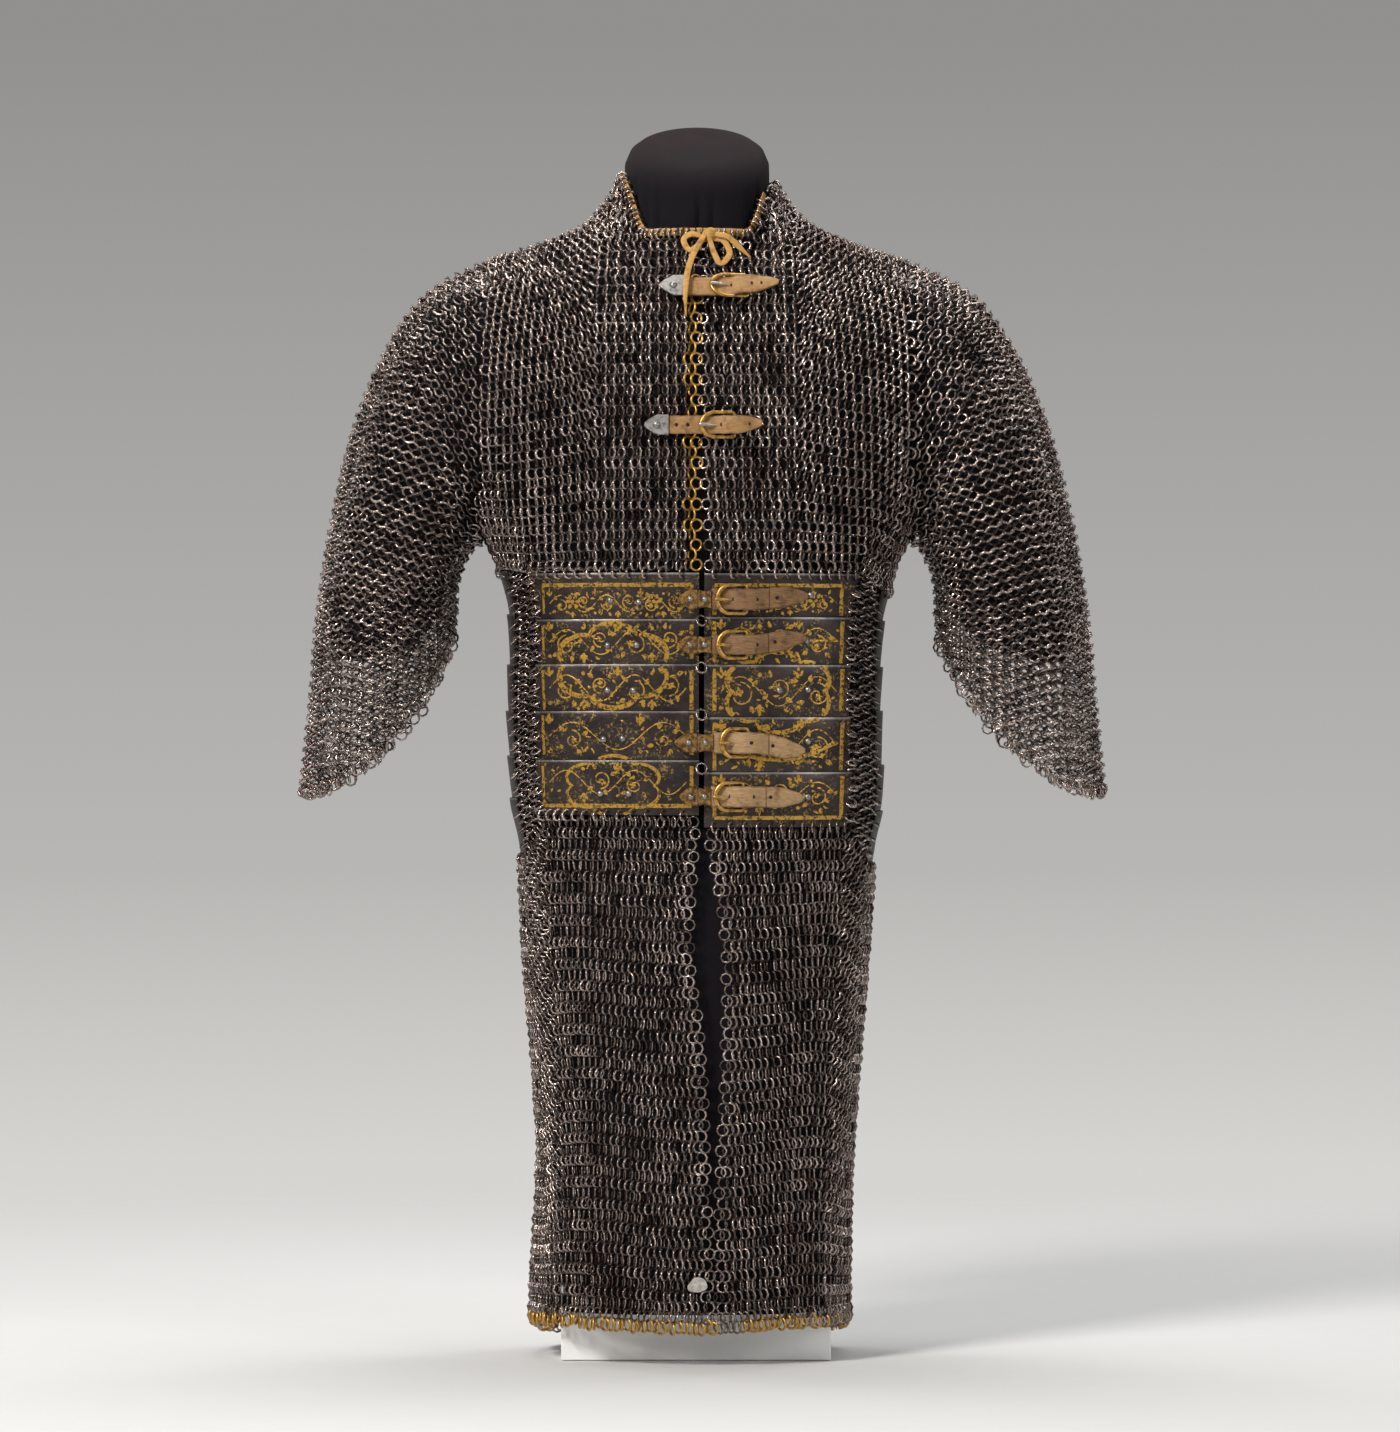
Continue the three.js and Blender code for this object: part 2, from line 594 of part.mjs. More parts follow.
/** A strip over the front: its middle line, half-width and lift are functions of u. */
function ribbon({ x, z, half, lift, thickness, columns }) {
  const lean = (u) => 2 / onFront(x(u), z(u) + 1, 0).distanceTo(onFront(x(u), z(u) - 1, 0));
  const surface = (u, v) => onFront(x(u), z(u) + (v - 0.5) * 2 * half(u) * lean(u), lift(u));
  return wall({ surface, columns, rows: 1, thickness });
}

/** The matrix that stands a flat piece on the front, x across, y up and z out. */
function frontMatrix(x, z, lift) {
  const origin = onFront(x, z, lift);
  const across = onFront(x + 1, z, lift).sub(onFront(x - 1, z, lift)).normalize();
  const out = onFront(x, z, lift + 1).sub(origin).normalize();
  const up = out.clone().cross(across).normalize();
  return new THREE.Matrix4().makeBasis(across, up, out).setPosition(origin);
}

/** The matrix that lays a flat piece from one point over the front to another, at two lifts. */
function spanMatrix(z, from, to, fromLift, toLift) {
  const origin = onFront(from, z, fromLift);
  const across = onFront(to, z, toLift).sub(origin).normalize();
  const up = onFront(from, z + 1, fromLift).sub(onFront(from, z - 1, fromLift)).normalize();
  const out = across.clone().cross(up).normalize();
  return new THREE.Matrix4().makeBasis(across, out.clone().cross(across), out).setPosition(origin);
}

/** A pointed mount plate with domed rivets. */
function mountPlate({ z, tip, end, strap, lift }) {
  const onMail = lift === MAIL_LIFT;
  const half = onMail ? strap / 2 + 0.7 : strap / 2 - 1;
  const body = ribbon({
    x: (u) => mix(tip, end, u),
    z: () => z,
    half: (u) => half * Math.min(1, 0.12 + u * 3),
    lift: () => lift + MOUNT_PLATE / 2,
    thickness: MOUNT_PLATE,
    columns: 8,
  });
  const rivets = onMail ? [mix(tip, end, 0.5)] : [mix(tip, end, 0.36), mix(tip, end, 0.8)];
  const domes = rivets.map((x) => {
    const dome = new THREE.SphereGeometry(2, 7, 5);
    return dome.applyMatrix4(frontMatrix(x, z, lift + MOUNT_PLATE));
  });
  return joined(body, ...domes);
}

const BUCKLE_BAR = 2.5;
const BUCKLE_THICK = 1.8;
const BUCKLE_LIFT = { bow: 3.4, bar: 1.4 };      // the frame's underside over what carries it
const BOW_SHARE = 0.36;                          // how much of the buckle's width its bow takes
const STRAP_RISE = BUCKLE_LIFT.bar + BUCKLE_THICK + 2 * SEAM;

/** Lift of a strap's middle at x: under the buckle's bow, over its bar, then down to its tip. */
function strapLift(x, { buckle, width, lift, tail }) {
  const low = lift + LEATHER / 2;
  const high = lift + LEATHER / 2 + STRAP_RISE;
  const up = smooth(buckle + BOW_SHARE * width, buckle + width - BUCKLE_BAR - 0.8, x);
  const down = smooth(buckle + width + 1, Math.min(tail, buckle + width + 16), x);
  return mix(low, high, up * (1 - down));
}

/** The matrix that lays a buckle from its bow to its bar. */
const buckleMatrix = ({ z, buckle, width, lift }) =>
  spanMatrix(z, buckle, buckle + width, lift + BUCKLE_LIFT.bow, lift + BUCKLE_LIFT.bar);

/** The strap, with a slot for the buckle's tongue. */
function strapBody(closure) {
  const { z, end, strap, tail, rise, buckle, width } = closure;
  const tipLength = 16;
  const stations = stepsBetween(
    end + SEAM,
    { to: buckle + BOW_SHARE * width, steps: 2 }, { to: buckle + width - BUCKLE_BAR - 0.8, steps: 5 },
    { to: buckle + width + 1, steps: 1 }, { to: tail - tipLength, steps: 3 }, { to: tail, steps: 4 },
  );
  const x = (u) => stepAt(stations, u);
  const body = ribbon({
    x,
    z: (u) => z + rise * smooth(buckle + width, tail, x(u)),
    half: (u) => (strap / 2) * (0.16 + 0.84 * Math.pow(clamp((tail - x(u)) / tipLength), 0.6)),
    lift: (u) => strapLift(x(u), closure),
    thickness: LEATHER,
    columns: stations.length - 1,
  });
  const slot = new THREE.BoxGeometry(width - 8, 3.2, 16).translate(width / 2 + 0.5, 0, 0);
  slot.applyMatrix4(buckleMatrix(closure));
  return geometryOf(solid(body).subtract(solid(slot)));
}

/** A D-shaped buckle, its bow on the mount's side, with its tongue over the bow. */
function buckleBody(closure) {
  const { width, strap } = closure;
  const bar = BUCKLE_BAR;
  const half = strap / 2 + 1.3;
  const shoulder = width * (BOW_SHARE - 0.02);
  const outline = new THREE.Shape();
  outline.moveTo(width, half + bar);
  outline.lineTo(shoulder, half + bar);
  outline.quadraticCurveTo(0, half * 0.7, 0, 0);
  outline.quadraticCurveTo(0, -half * 0.7, shoulder, -half - bar);
  outline.lineTo(width, -half - bar);
  const hole = new THREE.Path();
  hole.moveTo(width - bar, half);
  hole.lineTo(shoulder, half);
  hole.quadraticCurveTo(bar, half * 0.6, bar, 0);
  hole.quadraticCurveTo(bar, -half * 0.6, shoulder, -half);
  hole.lineTo(width - bar, -half);
  outline.holes.push(hole);
  const frame = new THREE.ExtrudeGeometry(outline, {
    depth: BUCKLE_THICK, bevelEnabled: false, curveSegments: 5,
  });
  const tongue = new THREE.BoxGeometry(width + 0.5, 2.2, 1.2);
  tongue.rotateY(0.06);
  tongue.translate(width / 2 - 1, 0, BUCKLE_THICK - 0.1);
  const place = buckleMatrix(closure);
  frame.applyMatrix4(place);
  tongue.applyMatrix4(place);
  return joined(frame, tongue);
}

/** A flat thong along points, with rounded edges. */
function thong(points, width = THONG.width, steps = 18) {
  const section = new THREE.Shape();
  section.absellipse(0, 0, THONG.thickness / 2, width / 2, 0, 2 * Math.PI);
  const path = new THREE.CatmullRomCurve3(points);
  return new THREE.ExtrudeGeometry(section, {
    steps, curveSegments: 4, extrudePath: path, bevelEnabled: false,
  });
}

const LACE_GAP = 4.4;

/** The thong round the collar's edge, on the rings that it holds. */
function neckLace() {
  const surface = (u, v) => {
    const x = mix(-57, 51, u);
    const y = -Math.sqrt(NECK_RING ** 2 - x * x);
    return new THREE.Vector3(x, y, topZ(x, 'front') + LACE_GAP + v * THONG.width);
  };
  const turn = (normal) => {
    normal.z = 0;
  };
  return wall({ surface, columns: 20, rows: 1, thickness: THONG.thickness, turn });
}

// The bow: knot, two loops and two free tails, as x, z and lift over the mail
const KNOT = { x: 8, z: 841, lift: 9 };
const BOW = [
  { piece: 'left_loop', x: 5, z: 843, lift: 9 }, { piece: 'left_loop', x: -3, z: 846, lift: 8 },
  { piece: 'left_loop', x: -9, z: 838, lift: 8 }, { piece: 'left_loop', x: -5, z: 829, lift: 8.5 },
  { piece: 'left_loop', x: 1, z: 833, lift: 9.6 }, { piece: 'left_loop', x: 6, z: 840, lift: 9.8 },
  { piece: 'right_loop', x: 10, z: 842, lift: 9 }, { piece: 'right_loop', x: 18, z: 837, lift: 8 },
  { piece: 'right_loop', x: 23, z: 827, lift: 7.5 }, { piece: 'right_loop', x: 17, z: 819, lift: 7.5 },
  { piece: 'right_loop', x: 12, z: 826, lift: 9 }, { piece: 'right_loop', x: 8, z: 838, lift: 10.5 },
  { piece: 'left_tail', x: 6, z: 840, lift: 11 }, { piece: 'left_tail', x: -1, z: 826, lift: 12 },
  { piece: 'left_tail', x: -6, z: 812, lift: 11 }, { piece: 'left_tail', x: -8, z: 796, lift: 10.5 },
  { piece: 'left_tail', x: -8, z: 780, lift: 6.5 },
  { piece: 'right_tail', x: 10, z: 841, lift: 11 }, { piece: 'right_tail', x: 20, z: 838, lift: 11.5 },
  { piece: 'right_tail', x: 29, z: 831, lift: 9.5 }, { piece: 'right_tail', x: 38, z: 824, lift: 7 },
];

/** The lace's bow in front of the collar's opening. */
function laceBow() {
  const spot = ({ x, z, lift }) => onFront(x, z, lift);
  const pieces = ['left_loop', 'right_loop', 'left_tail', 'right_tail'];
  const strands = pieces.map((piece) => thong(BOW.filter((row) => row.piece === piece).map(spot), 5, 8));
  const knot = new THREE.SphereGeometry(1, 9, 6).scale(6, 4, 6);
  knot.applyMatrix4(frontMatrix(KNOT.x, KNOT.z, KNOT.lift + 0.5));
  return joined(knot, ...strands);
}

const TRUNK_TOP_Z = 690;
const TRUNK_HALF_WIDTH = 142;
const SLICE_FOOT_Z = ARMPIT_Z + 24;

/** The dress form: trunk, shoulders and neck plug in one. */
function formBody() {
  const sides = 28;
  const rings = [];
  for (let z = BLOCK.height + SEAM; z < TRUNK_TOP_Z; z += 48) {
    rings.push(Array.from({ length: sides }, (_, i) => {
      const angle = (i / sides) * 2 * Math.PI;
      const cosine = Math.cos(angle);
      const depth = read(BODY, 'z', cosine > 0 ? 'front' : 'back', z) - FORM_CLEARANCE - 2;
      const width = Math.min(TRUNK_HALF_WIDTH, halfWidth(Math.sin(angle), z)) - FORM_CLEARANCE - 2;
      return new THREE.Vector3(width * power(Math.sin(angle), 2 / SQUARENESS),
        -depth * power(cosine, 2 / SQUARENESS), z);
    }));
  }
  const slices = stepsBetween(
    -FORM_REACH,
    { to: -100, steps: 3 }, { to: -NECK_COLUMN, steps: 5 }, { to: NECK_COLUMN, steps: 4 },
    { to: 100, steps: 5 }, { to: FORM_REACH, steps: 3 },
  ).map((x) => {
    const angle = chestAngle(x);
    const line = (reach) => read(SHOULDER, 'x', 'z', reach);
    const seat = SHOULDER_SEAT * Math.hypot(1, line(Math.abs(x) + 1) - line(Math.abs(x)));
    const levels = Array.from({ length: 10 }, (_, j) => j / 9);
    const edge = (v, face) => {
      const point = upperPoint(angle, v, SLICE_FOOT_Z, face);
      const depth = Math.max(1, Math.abs(point.y) - FORM_CLEARANCE - 1);
      return new THREE.Vector3(x, face === 'front' ? -depth : depth, point.z - seat);
    };
    return [...levels.map((v) => edge(v, 'front')), ...levels.toReversed().map((v) => edge(v, 'back'))];
  });
  return joined(loft(rings), loft(slices), neckPlug());
}

/** The neck plug: a padded cylinder with a rounded rim, its top leaning to the front. */
function neckPlug() {
  const levels = [
    { up: 0, radius: 1 }, { up: 0.8, radius: 1 }, { up: 0.93, radius: 0.985 },
    { up: 0.985, radius: 0.94 }, { up: 1, radius: 0.86 },
  ];
  return loft(levels.map(({ up, radius }) => Array.from({ length: 28 }, (_, i) => {
    const angle = (i / 28) * 2 * Math.PI;
    const x = PLUG.radius * radius * Math.sin(angle);
    const y = -PLUG.radius * radius * Math.cos(angle);
    const top = PLUG.top + y * Math.tan(PLUG.tilt) + 6 * (1 - radius);
    return new THREE.Vector3(x, y, mix(PLUG.foot, top, up));
  })));
}

/** The padded support that fills a sleeve down from the form's armhole. */
function sleevePad(side) {
  const sign = signOf(side);
  const levels = [0, 0.1, 0.22, 0.36, 0.5, 0.64, 0.74, PAD_END];
  return loft(levels.map((along, index) => Array.from({ length: 20 }, (_, i) => {
    const round = (i / 20) * 2 * Math.PI;
    const ends = index === 0 ? 3 : 0;
    const inset = FORM_CLEARANCE + 2 + (index === levels.length - 1 ? 8 : ends);
    const point = sleevePoint(along, round, side, inset);
    if (index === 0) point.x = sign * (FORM_REACH + SEAM);
    return point;
  })));
}

// The support
const blockShape = new THREE.BoxGeometry(BLOCK.width, BLOCK.depth, BLOCK.height);
addPiece('plinth_block', blockShape.translate(-0.8, -5, BLOCK.height / 2), 'block');
addPiece('form_torso', formBody(), 'felt');
SIDES.forEach((side) => addPiece(`form_sleeve_pad_${side}`, sleevePad(side), 'felt'));

// The mail
SIDES.forEach((side) => addPiece(`mail_chest_${side}`, chestHalf(side), 'mail'));
addPiece('mail_back', backPanel(), 'mail');
SIDES.forEach((side) => addPiece(`mail_sleeve_${side}`, sleeve(side), 'mail'));
SIDES.forEach((side) => addPiece(`mail_flank_${side}`, flank(side), 'mail'));
addPiece('mail_waist_back', waistBack(), 'mail');
SIDES.forEach((side) => addPiece(`mail_skirt_${side}`, skirtHalf(side), 'mail'));
addPiece('mail_skirt_back', skirtBack(), 'mail');

// The plates
SIDES.forEach((side) => {
  const sign = signOf(side);
  const { inner, tops } = FRONT_PLATES[side];
  addPlates('plate_front', side, tops, angleAt(inner, WAIST_Z), sign * plateEdge(side), 8);
  addPlates('plate_side', side, SIDE_PLATES[side], sign * SIDE_FRONT, sign * SIDE_BACK, 7);
});

// The fastenings and the lace
CLOSURES.forEach((closure) => {
  addPiece(`mount_${closure.name}`, mountPlate(closure), closure.lift === MAIL_LIFT ? 'steel' : 'gilt');
  addPiece(`strap_${closure.name}`, strapBody(closure), 'leather');
  addPiece(`buckle_${closure.name}`, buckleBody(closure), 'gilt');
});
addPiece('neck_lace', neckLace(), 'thong');
addPiece('lace_bow', laceBow(), 'thong');
const tag = new THREE.CylinderGeometry(6.5, 6.5, 1.4, 12).rotateX(Math.PI / 2);
addPiece('hem_tag', tag.applyMatrix4(frontMatrix(2, 61, MAIL_LIFT + 0.2)), 'tag');

// The origin is at the middle of the foot
const box = new THREE.Box3().setFromObject(group);
group.position.set(-(box.min.x + box.max.x) / 2, -(box.min.y + box.max.y) / 2, -box.min.z);
group.updateMatrixWorld(true);

export default group;
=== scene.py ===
"""A short-sleeved shirt of mail and plate on a limbless dress form and a white block, in a plain studio."""
import logging
import math
from collections.abc import Callable, Sequence
from dataclasses import dataclass, field
from enum import Enum

import bpy
import numpy as np
from mathutils import Matrix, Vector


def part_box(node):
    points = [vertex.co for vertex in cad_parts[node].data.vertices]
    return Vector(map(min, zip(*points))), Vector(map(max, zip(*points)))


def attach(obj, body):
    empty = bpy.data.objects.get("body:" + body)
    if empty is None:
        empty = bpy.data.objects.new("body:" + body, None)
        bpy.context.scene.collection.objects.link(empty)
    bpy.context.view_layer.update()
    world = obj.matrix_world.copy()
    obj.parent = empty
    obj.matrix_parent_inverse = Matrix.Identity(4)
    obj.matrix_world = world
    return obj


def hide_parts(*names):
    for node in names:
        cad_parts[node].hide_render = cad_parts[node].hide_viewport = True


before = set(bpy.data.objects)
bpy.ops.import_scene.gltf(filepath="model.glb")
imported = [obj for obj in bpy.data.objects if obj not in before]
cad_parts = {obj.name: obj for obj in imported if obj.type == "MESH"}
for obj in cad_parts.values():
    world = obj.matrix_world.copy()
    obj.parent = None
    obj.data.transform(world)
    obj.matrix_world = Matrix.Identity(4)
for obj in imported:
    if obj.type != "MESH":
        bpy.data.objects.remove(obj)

Array = np.ndarray
Surface = Callable[[Array, Array], Array]
Colour = tuple[float, float, float]
Pitch = tuple[float, float]
Piece = bpy.types.Object
Socket = bpy.types.NodeSocket
UP = np.array([0.0, 0.0, 1.0])


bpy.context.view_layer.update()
LOG = logging.getLogger("shirt")

BLOCK_MIDDLE = (-0.8, -5.0, 28.5)
BLOCK_SIZE = (203.0, 84.0, 57.0)
block_low, block_high = (np.array(corner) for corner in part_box("plinth_block"))
SHIFT = (block_low + block_high) / 2 - np.array(BLOCK_MIDDLE) / 1000


def to_frame(points: Array) -> Array:
    """Turns the shirt's own millimetres into the frame's metres."""
    return np.asarray(points, float) / 1000 + SHIFT


def mix(start: Array, end: Array, share: Array) -> Array:
    """The value a share of the way from start to end."""
    return start + (end - start) * share


def smooth(low: float, high: float, value: Array) -> Array:
    """A soft step from 0 at low to 1 at high."""
    share = np.clip((value - low) / (high - low), 0, 1)
    return share * share * (3 - 2 * share)


def signed_power(value: Array, exponent: float) -> Array:
    """Raises the size of a value to a power and keeps its sign."""
    return np.sign(value) * np.abs(value) ** exponent


def unit(vectors: Array) -> Array:
    """Makes each vector one long."""
    return vectors / np.maximum(np.linalg.norm(vectors, axis=-1, keepdims=True), 1e-9)


def run_of(line: Array) -> Array:
    """How far along a line each of its points is."""
    return np.concatenate([[0], np.cumsum(np.linalg.norm(np.diff(line, axis=0), axis=1))])


def read_line(line: Array, places: Array, at: Array) -> Array:
    """The points of a line at other places than those of its own points."""
    return np.stack([np.interp(at, places, part) for part in line.T], axis=-1)


@dataclass(frozen=True)
class Curve:
    """A smooth line through a short table of places and values."""

    places: tuple[float, ...]
    values: tuple[float, ...]

    def __call__(self, at: Array) -> Array:
        """Reads the curve at many places at once.

        Args:
            at: The places, which are kept inside the table.

        Returns:
            The values there.
        """
        places, values = np.array(self.places), np.array(self.values)
        order = np.arange(len(places))
        before, after = np.maximum(order - 1, 0), np.minimum(order + 1, len(places) - 1)
        slope = (values[after] - values[before]) / (places[after] - places[before])
        place = np.clip(at, places[0], places[-1])
        row = np.clip(np.searchsorted(places, place) - 1, 0, len(places) - 2)
        span = places[row + 1] - places[row]
        share = (place - places[row]) / span
        bend = share * (1 - share) * span
        return (mix(values[row], values[row + 1], share * share * (3 - 2 * share))
                + bend * (slope[row] * (1 - share) - slope[row + 1] * share))


def table(names: str, *rows: tuple[float, ...]) -> dict[str, Curve]:
    """Makes a curve of each named column over the first one.

    Args:
        names: The columns' names, apart by spaces.
        rows: The table's rows.

    Returns:
        The curves by the names of their columns.
    """
    columns = list(zip(*rows))
    return {name: Curve(columns[0], column) for name, column in zip(names.split()[1:], columns[1:])}


BODY = table(
    "z left right front back",
    (0, 125, 117, 90, 98), (56, 124, 116, 90, 98), (140, 119, 117, 90, 97), (200, 121, 120, 91, 96),
    (300, 129, 127, 93, 96), (390, 134, 134, 95, 96), (420, 139, 139, 96, 96), (490, 142, 138, 97, 97),
    (560, 141, 140, 98, 98), (600, 149, 149, 100, 100), (619, 158, 158, 101, 101),
    (640, 162, 162, 102, 103), (730, 162, 162, 102, 106), (900, 162, 162, 98, 104),
)
SHOULDER = table("x z", (0, 902), (58, 891), (70, 873), (80, 861), (96, 851), (124, 840), (162, 828))["z"]
SLEEVE = table(
    "along outer_x outer_z inner_x inner_z depth",
    (0.00, 162, 828, 162, 619, 70), (0.12, 204, 805, 172, 611, 70), (0.25, 236, 760, 178, 601, 68),
    (0.40, 260, 700, 182, 590, 66), (0.55, 276, 632, 184, 579, 63), (0.70, 287, 562, 184, 568, 60),
    (0.85, 293, 492, 185, 557, 57), (1.00, 300, 427, 187, 547, 54),
)
SLIT = table(
    "z left right",
    (20, 14, 15), (80, 11, 14.5), (140, 8, 15.7), (200, 6.5, 18.7), (258, 2, 20), (303, -3.7, 20),
    (348, -3, 15.7), (392, 0, 8), (411, 2, 6),
)
OPENING = table(
    "z left right", (590, 4, 10), (610, 4, 8), (640, 4, 5), (790, 4, 5), (815, 3, 8), (845, 1, 14),
)
SKIRT_FOLDS = (
    (-2.75, 0.20, 4), (-2.25, 0.16, 3), (-1.72, 0.20, 4), (-1.18, 0.14, 3), (-0.82, 0.16, 4),
    (-0.42, 0.14, 3), (0.36, 0.12, 3), (0.72, 0.16, 4), (1.14, 0.16, 3), (1.60, 0.20, 4),
    (2.10, 0.18, 4), (2.62, 0.20, 3),
)


class Side(Enum):
    """The two sides of the shirt, as a viewer in front of it sees them."""

    LEFT = "left"
    RIGHT = "right"

    @property
    def sign(self) -> int:
        """The sign of x on this side."""
        return -1 if self is Side.LEFT else 1


FRONT_TOPS = {
    Side.LEFT: (591.5, 557.0, 523.5, 488.5, 452.0, 411.0),
    Side.RIGHT: (591.0, 558.5, 523.0, 484.0, 443.0, 402.0),
}
FRONT_EDGES = {Side.LEFT: (1.5, 116.0), Side.RIGHT: (5.3, 113.0)}
SIDE_TOPS = {
    Side.LEFT: (594.0, 562.0, 524.0, 489.0, 455.0, 423.0, 381.5),
    Side.RIGHT: (579.0, 557.0, 522.0, 489.0, 448.0, 413.0, 375.0),
}


PLATE_RIVETS = {
    Side.LEFT: ((-64.0, 571.0), (-43.0, 569.5), (-66.0, 537.5), (-44.5, 537.5), (-66.0, 504.0),
                (-47.0, 504.0), (-69.0, 467.5), (-55.0, 468.0), (-71.5, 427.0), (-50.5, 427.0)),
    Side.RIGHT: ((84.0, 575.0), (81.0, 541.0), (61.0, 504.0), (82.0, 504.5), (82.0, 466.0), (82.0, 424.5)),
}
RIVET_TONE = 0.8


@dataclass(frozen=True)
class ShirtShape:
    """The middle of the mail, in millimetres, as the solids have it."""

    squareness: float = 2.6
    armpit_z: float = 619.0
    armscye_x: float = 162.0
    armscye_depth: float = 70.0
    neck_ring: float = 60.0
    neck_front_z: float = 841.0
    neck_back_z: float = 889.0
    chest_foot_z: float = 590.0
    waist_z: float = 490.0
    side_front: float = 0.395 * math.pi
    side_back: float = 0.70 * math.pi
    level: float = 0.3
    chest_top_back: float = 599.0
    waist_end_back: float = 392.0
    fold_top: float = 300.0
    reach_right: float = 1.065
    cuff_droop: float = 26.0
    calm_x: float = 75.0

    def half_width(self, x: Array, z: Array) -> Array:
        """Half-width of the body on the side of x."""
        return np.where(x < 0, BODY["left"](z), BODY["right"](z))

    def body_depth(self, x: Array, z: Array, back: Array) -> Array:
        """Distance of the mail from the plane of the arms.

        Args:
            x: Places across the shirt.
            z: Heights.
            back: True where the place is on the back.

        Returns:
            The depths, all positive.
        """
        depth = np.where(back, BODY["back"](z), BODY["front"](z))
        across = np.maximum(0, 1 - np.clip(np.abs(x) / self.half_width(x, z), 0, 1) ** self.squareness)
        rise = np.clip((z - self.armpit_z) / (SHOULDER(np.abs(x)) - self.armpit_z), 0, 1)
        low = np.where(rise < 0.5, np.sqrt(np.maximum(0, 1 - (1 - 2 * rise) ** 2)), 1)
        edge = self.armscye_depth * low
        dome = np.where(rise > 0.5, 1 - (2 * rise - 1) ** 2, 1)
        closing = np.maximum(dome, 0) ** mix(1.05, 0.5, smooth(40, 120, np.abs(x)))
        return closing * (edge + (depth - edge) * across ** mix(1 / self.squareness, 0.8, low))

    def body_x(self, angle: Array, z: Array) -> Array:
        """The body's x at an angle from the middle of the front."""
        return signed_power(np.sin(angle), 2 / self.squareness) * self.half_width(np.sin(angle), z)

    def angle_at(self, x: Array, z: Array) -> Array:
        """The angle at which the body's section passes x on the front."""
        share = np.clip(np.abs(x) / self.half_width(np.asarray(x, float), z), 0, 1)
        return np.sign(x) * np.arcsin(share ** (self.squareness / 2))

    def body_point(self, angle: Array, z: Array) -> Array:
        """A point of the body's mail at an angle and height, with the skirt's soft folds."""
        x = self.body_x(angle, z)
        back = np.cos(angle) < 0
        y = self.body_depth(x, z, back) * np.where(back, 1, -1)
        fade = 1 - smooth(40, self.fold_top, z)
        fold = sum(deep * fade * np.exp(-(((angle - at) / wide) ** 2)) for at, wide, deep in SKIRT_FOLDS)
        shrink = 1 - fold / np.hypot(x, y)
        return np.stack([x * shrink, y * shrink, z + 0 * x], axis=-1)

    def top_z(self, x: Array, back: bool) -> Array:
        """The collar's edge near the neck and the shoulder line beyond it."""
        reach = np.abs(x)
        low = self.neck_back_z if back else self.neck_front_z
        collar = mix(low, SHOULDER(self.neck_ring), smooth(38, self.neck_ring, reach))
        return np.where(reach >= self.neck_ring, SHOULDER(reach), collar)

    def crown_z(self, x: Array, rise: Array) -> Array:
        """The line that the rows of rings near: a calm curve below, the shoulder line at the top."""
        calm = mix(872.0, 866.0, smooth(0, 60, np.abs(x)))
        calm = np.minimum(calm, SHOULDER(np.maximum(np.abs(x), self.calm_x)))
        return mix(calm, SHOULDER(np.abs(x)), rise ** 6)

    def row_point(self, angle: Array, rise: Array, foot: Array, back: bool) -> Array:
        """A point of the chest or back, on rows that run level and end where they meet the collar."""
        x = signed_power(np.sin(angle), 2 / self.squareness) * self.armscye_x
        z = mix(foot, self.crown_z(x, rise), np.sin(rise * math.pi / 2))
        wide = x * np.minimum(1, self.half_width(x, z) / self.armscye_x)
        low = self.neck_back_z if back else self.neck_front_z
        near_neck = mix(low, SHOULDER(self.calm_x), smooth(25, self.calm_x, np.abs(x)))
        top = np.where(np.abs(x) < self.calm_x, near_neck, SHOULDER(np.abs(x)))
        share = np.arcsin(np.clip((z - foot) / (top - foot), 0, 1)) / (math.pi / 2)
        depth = self.collar_depth(wide, z, back, share)
        return np.stack([wide, depth if back else -depth, z], axis=-1)

    def under_collar(self, points: Array, back: bool) -> Array:
        """True where a ring lies below the collar's edge, or out on the shoulder."""
        x, z = points[:, 0], points[:, 2]
        return (np.abs(x) > self.neck_ring + 2) | (z < self.top_z(x, back) - 1.5)

    def collar_depth(self, x: Array, z: Array, back: bool, rise: Array) -> Array:
        """Depth of the chest or back, drawn in to the collar's ring."""
        pull = rise ** 3 * (1 - smooth(40, 72, np.abs(x)))
        ring = np.sqrt(np.maximum(0, self.neck_ring ** 2 - x * x))
        return np.maximum(mix(self.body_depth(x, z, back), ring, pull), ring)

    def front_point(self, x: Array, z: Array) -> Array:
        """The point of the front's mail at x and z."""
        foot = FRONT_TOPS[Side.LEFT][0]
        top = self.top_z(x, False)
        rise = np.arcsin(np.clip((z - foot) / (top - foot), 0, 1)) / (math.pi / 2)
        depth = np.where(z < foot, self.body_depth(x, z, False), self.collar_depth(x, z, False, rise))
        return np.stack([x, -depth, z], axis=-1)

    def on_front(self, x: Array, z: Array, lift: Array) -> Array:
        """A point over the front, moved out from the middle of the mail.

        Args:
            x: Places across the shirt.
            z: Heights.
            lift: Distances out.

        Returns:
            The points.
        """
        x, z, lift = np.broadcast_arrays(*(np.asarray(value, float) for value in (x, z, lift)))
        across = self.front_point(x + 1, z) - self.front_point(x - 1, z)
        up = self.front_point(x, z + 1) - self.front_point(x, z - 1)
        out = unit(np.cross(across, up))
        out = np.where(out[..., 1:2] > 0, -out, out)
        return self.front_point(x, z) + out * lift[..., None]

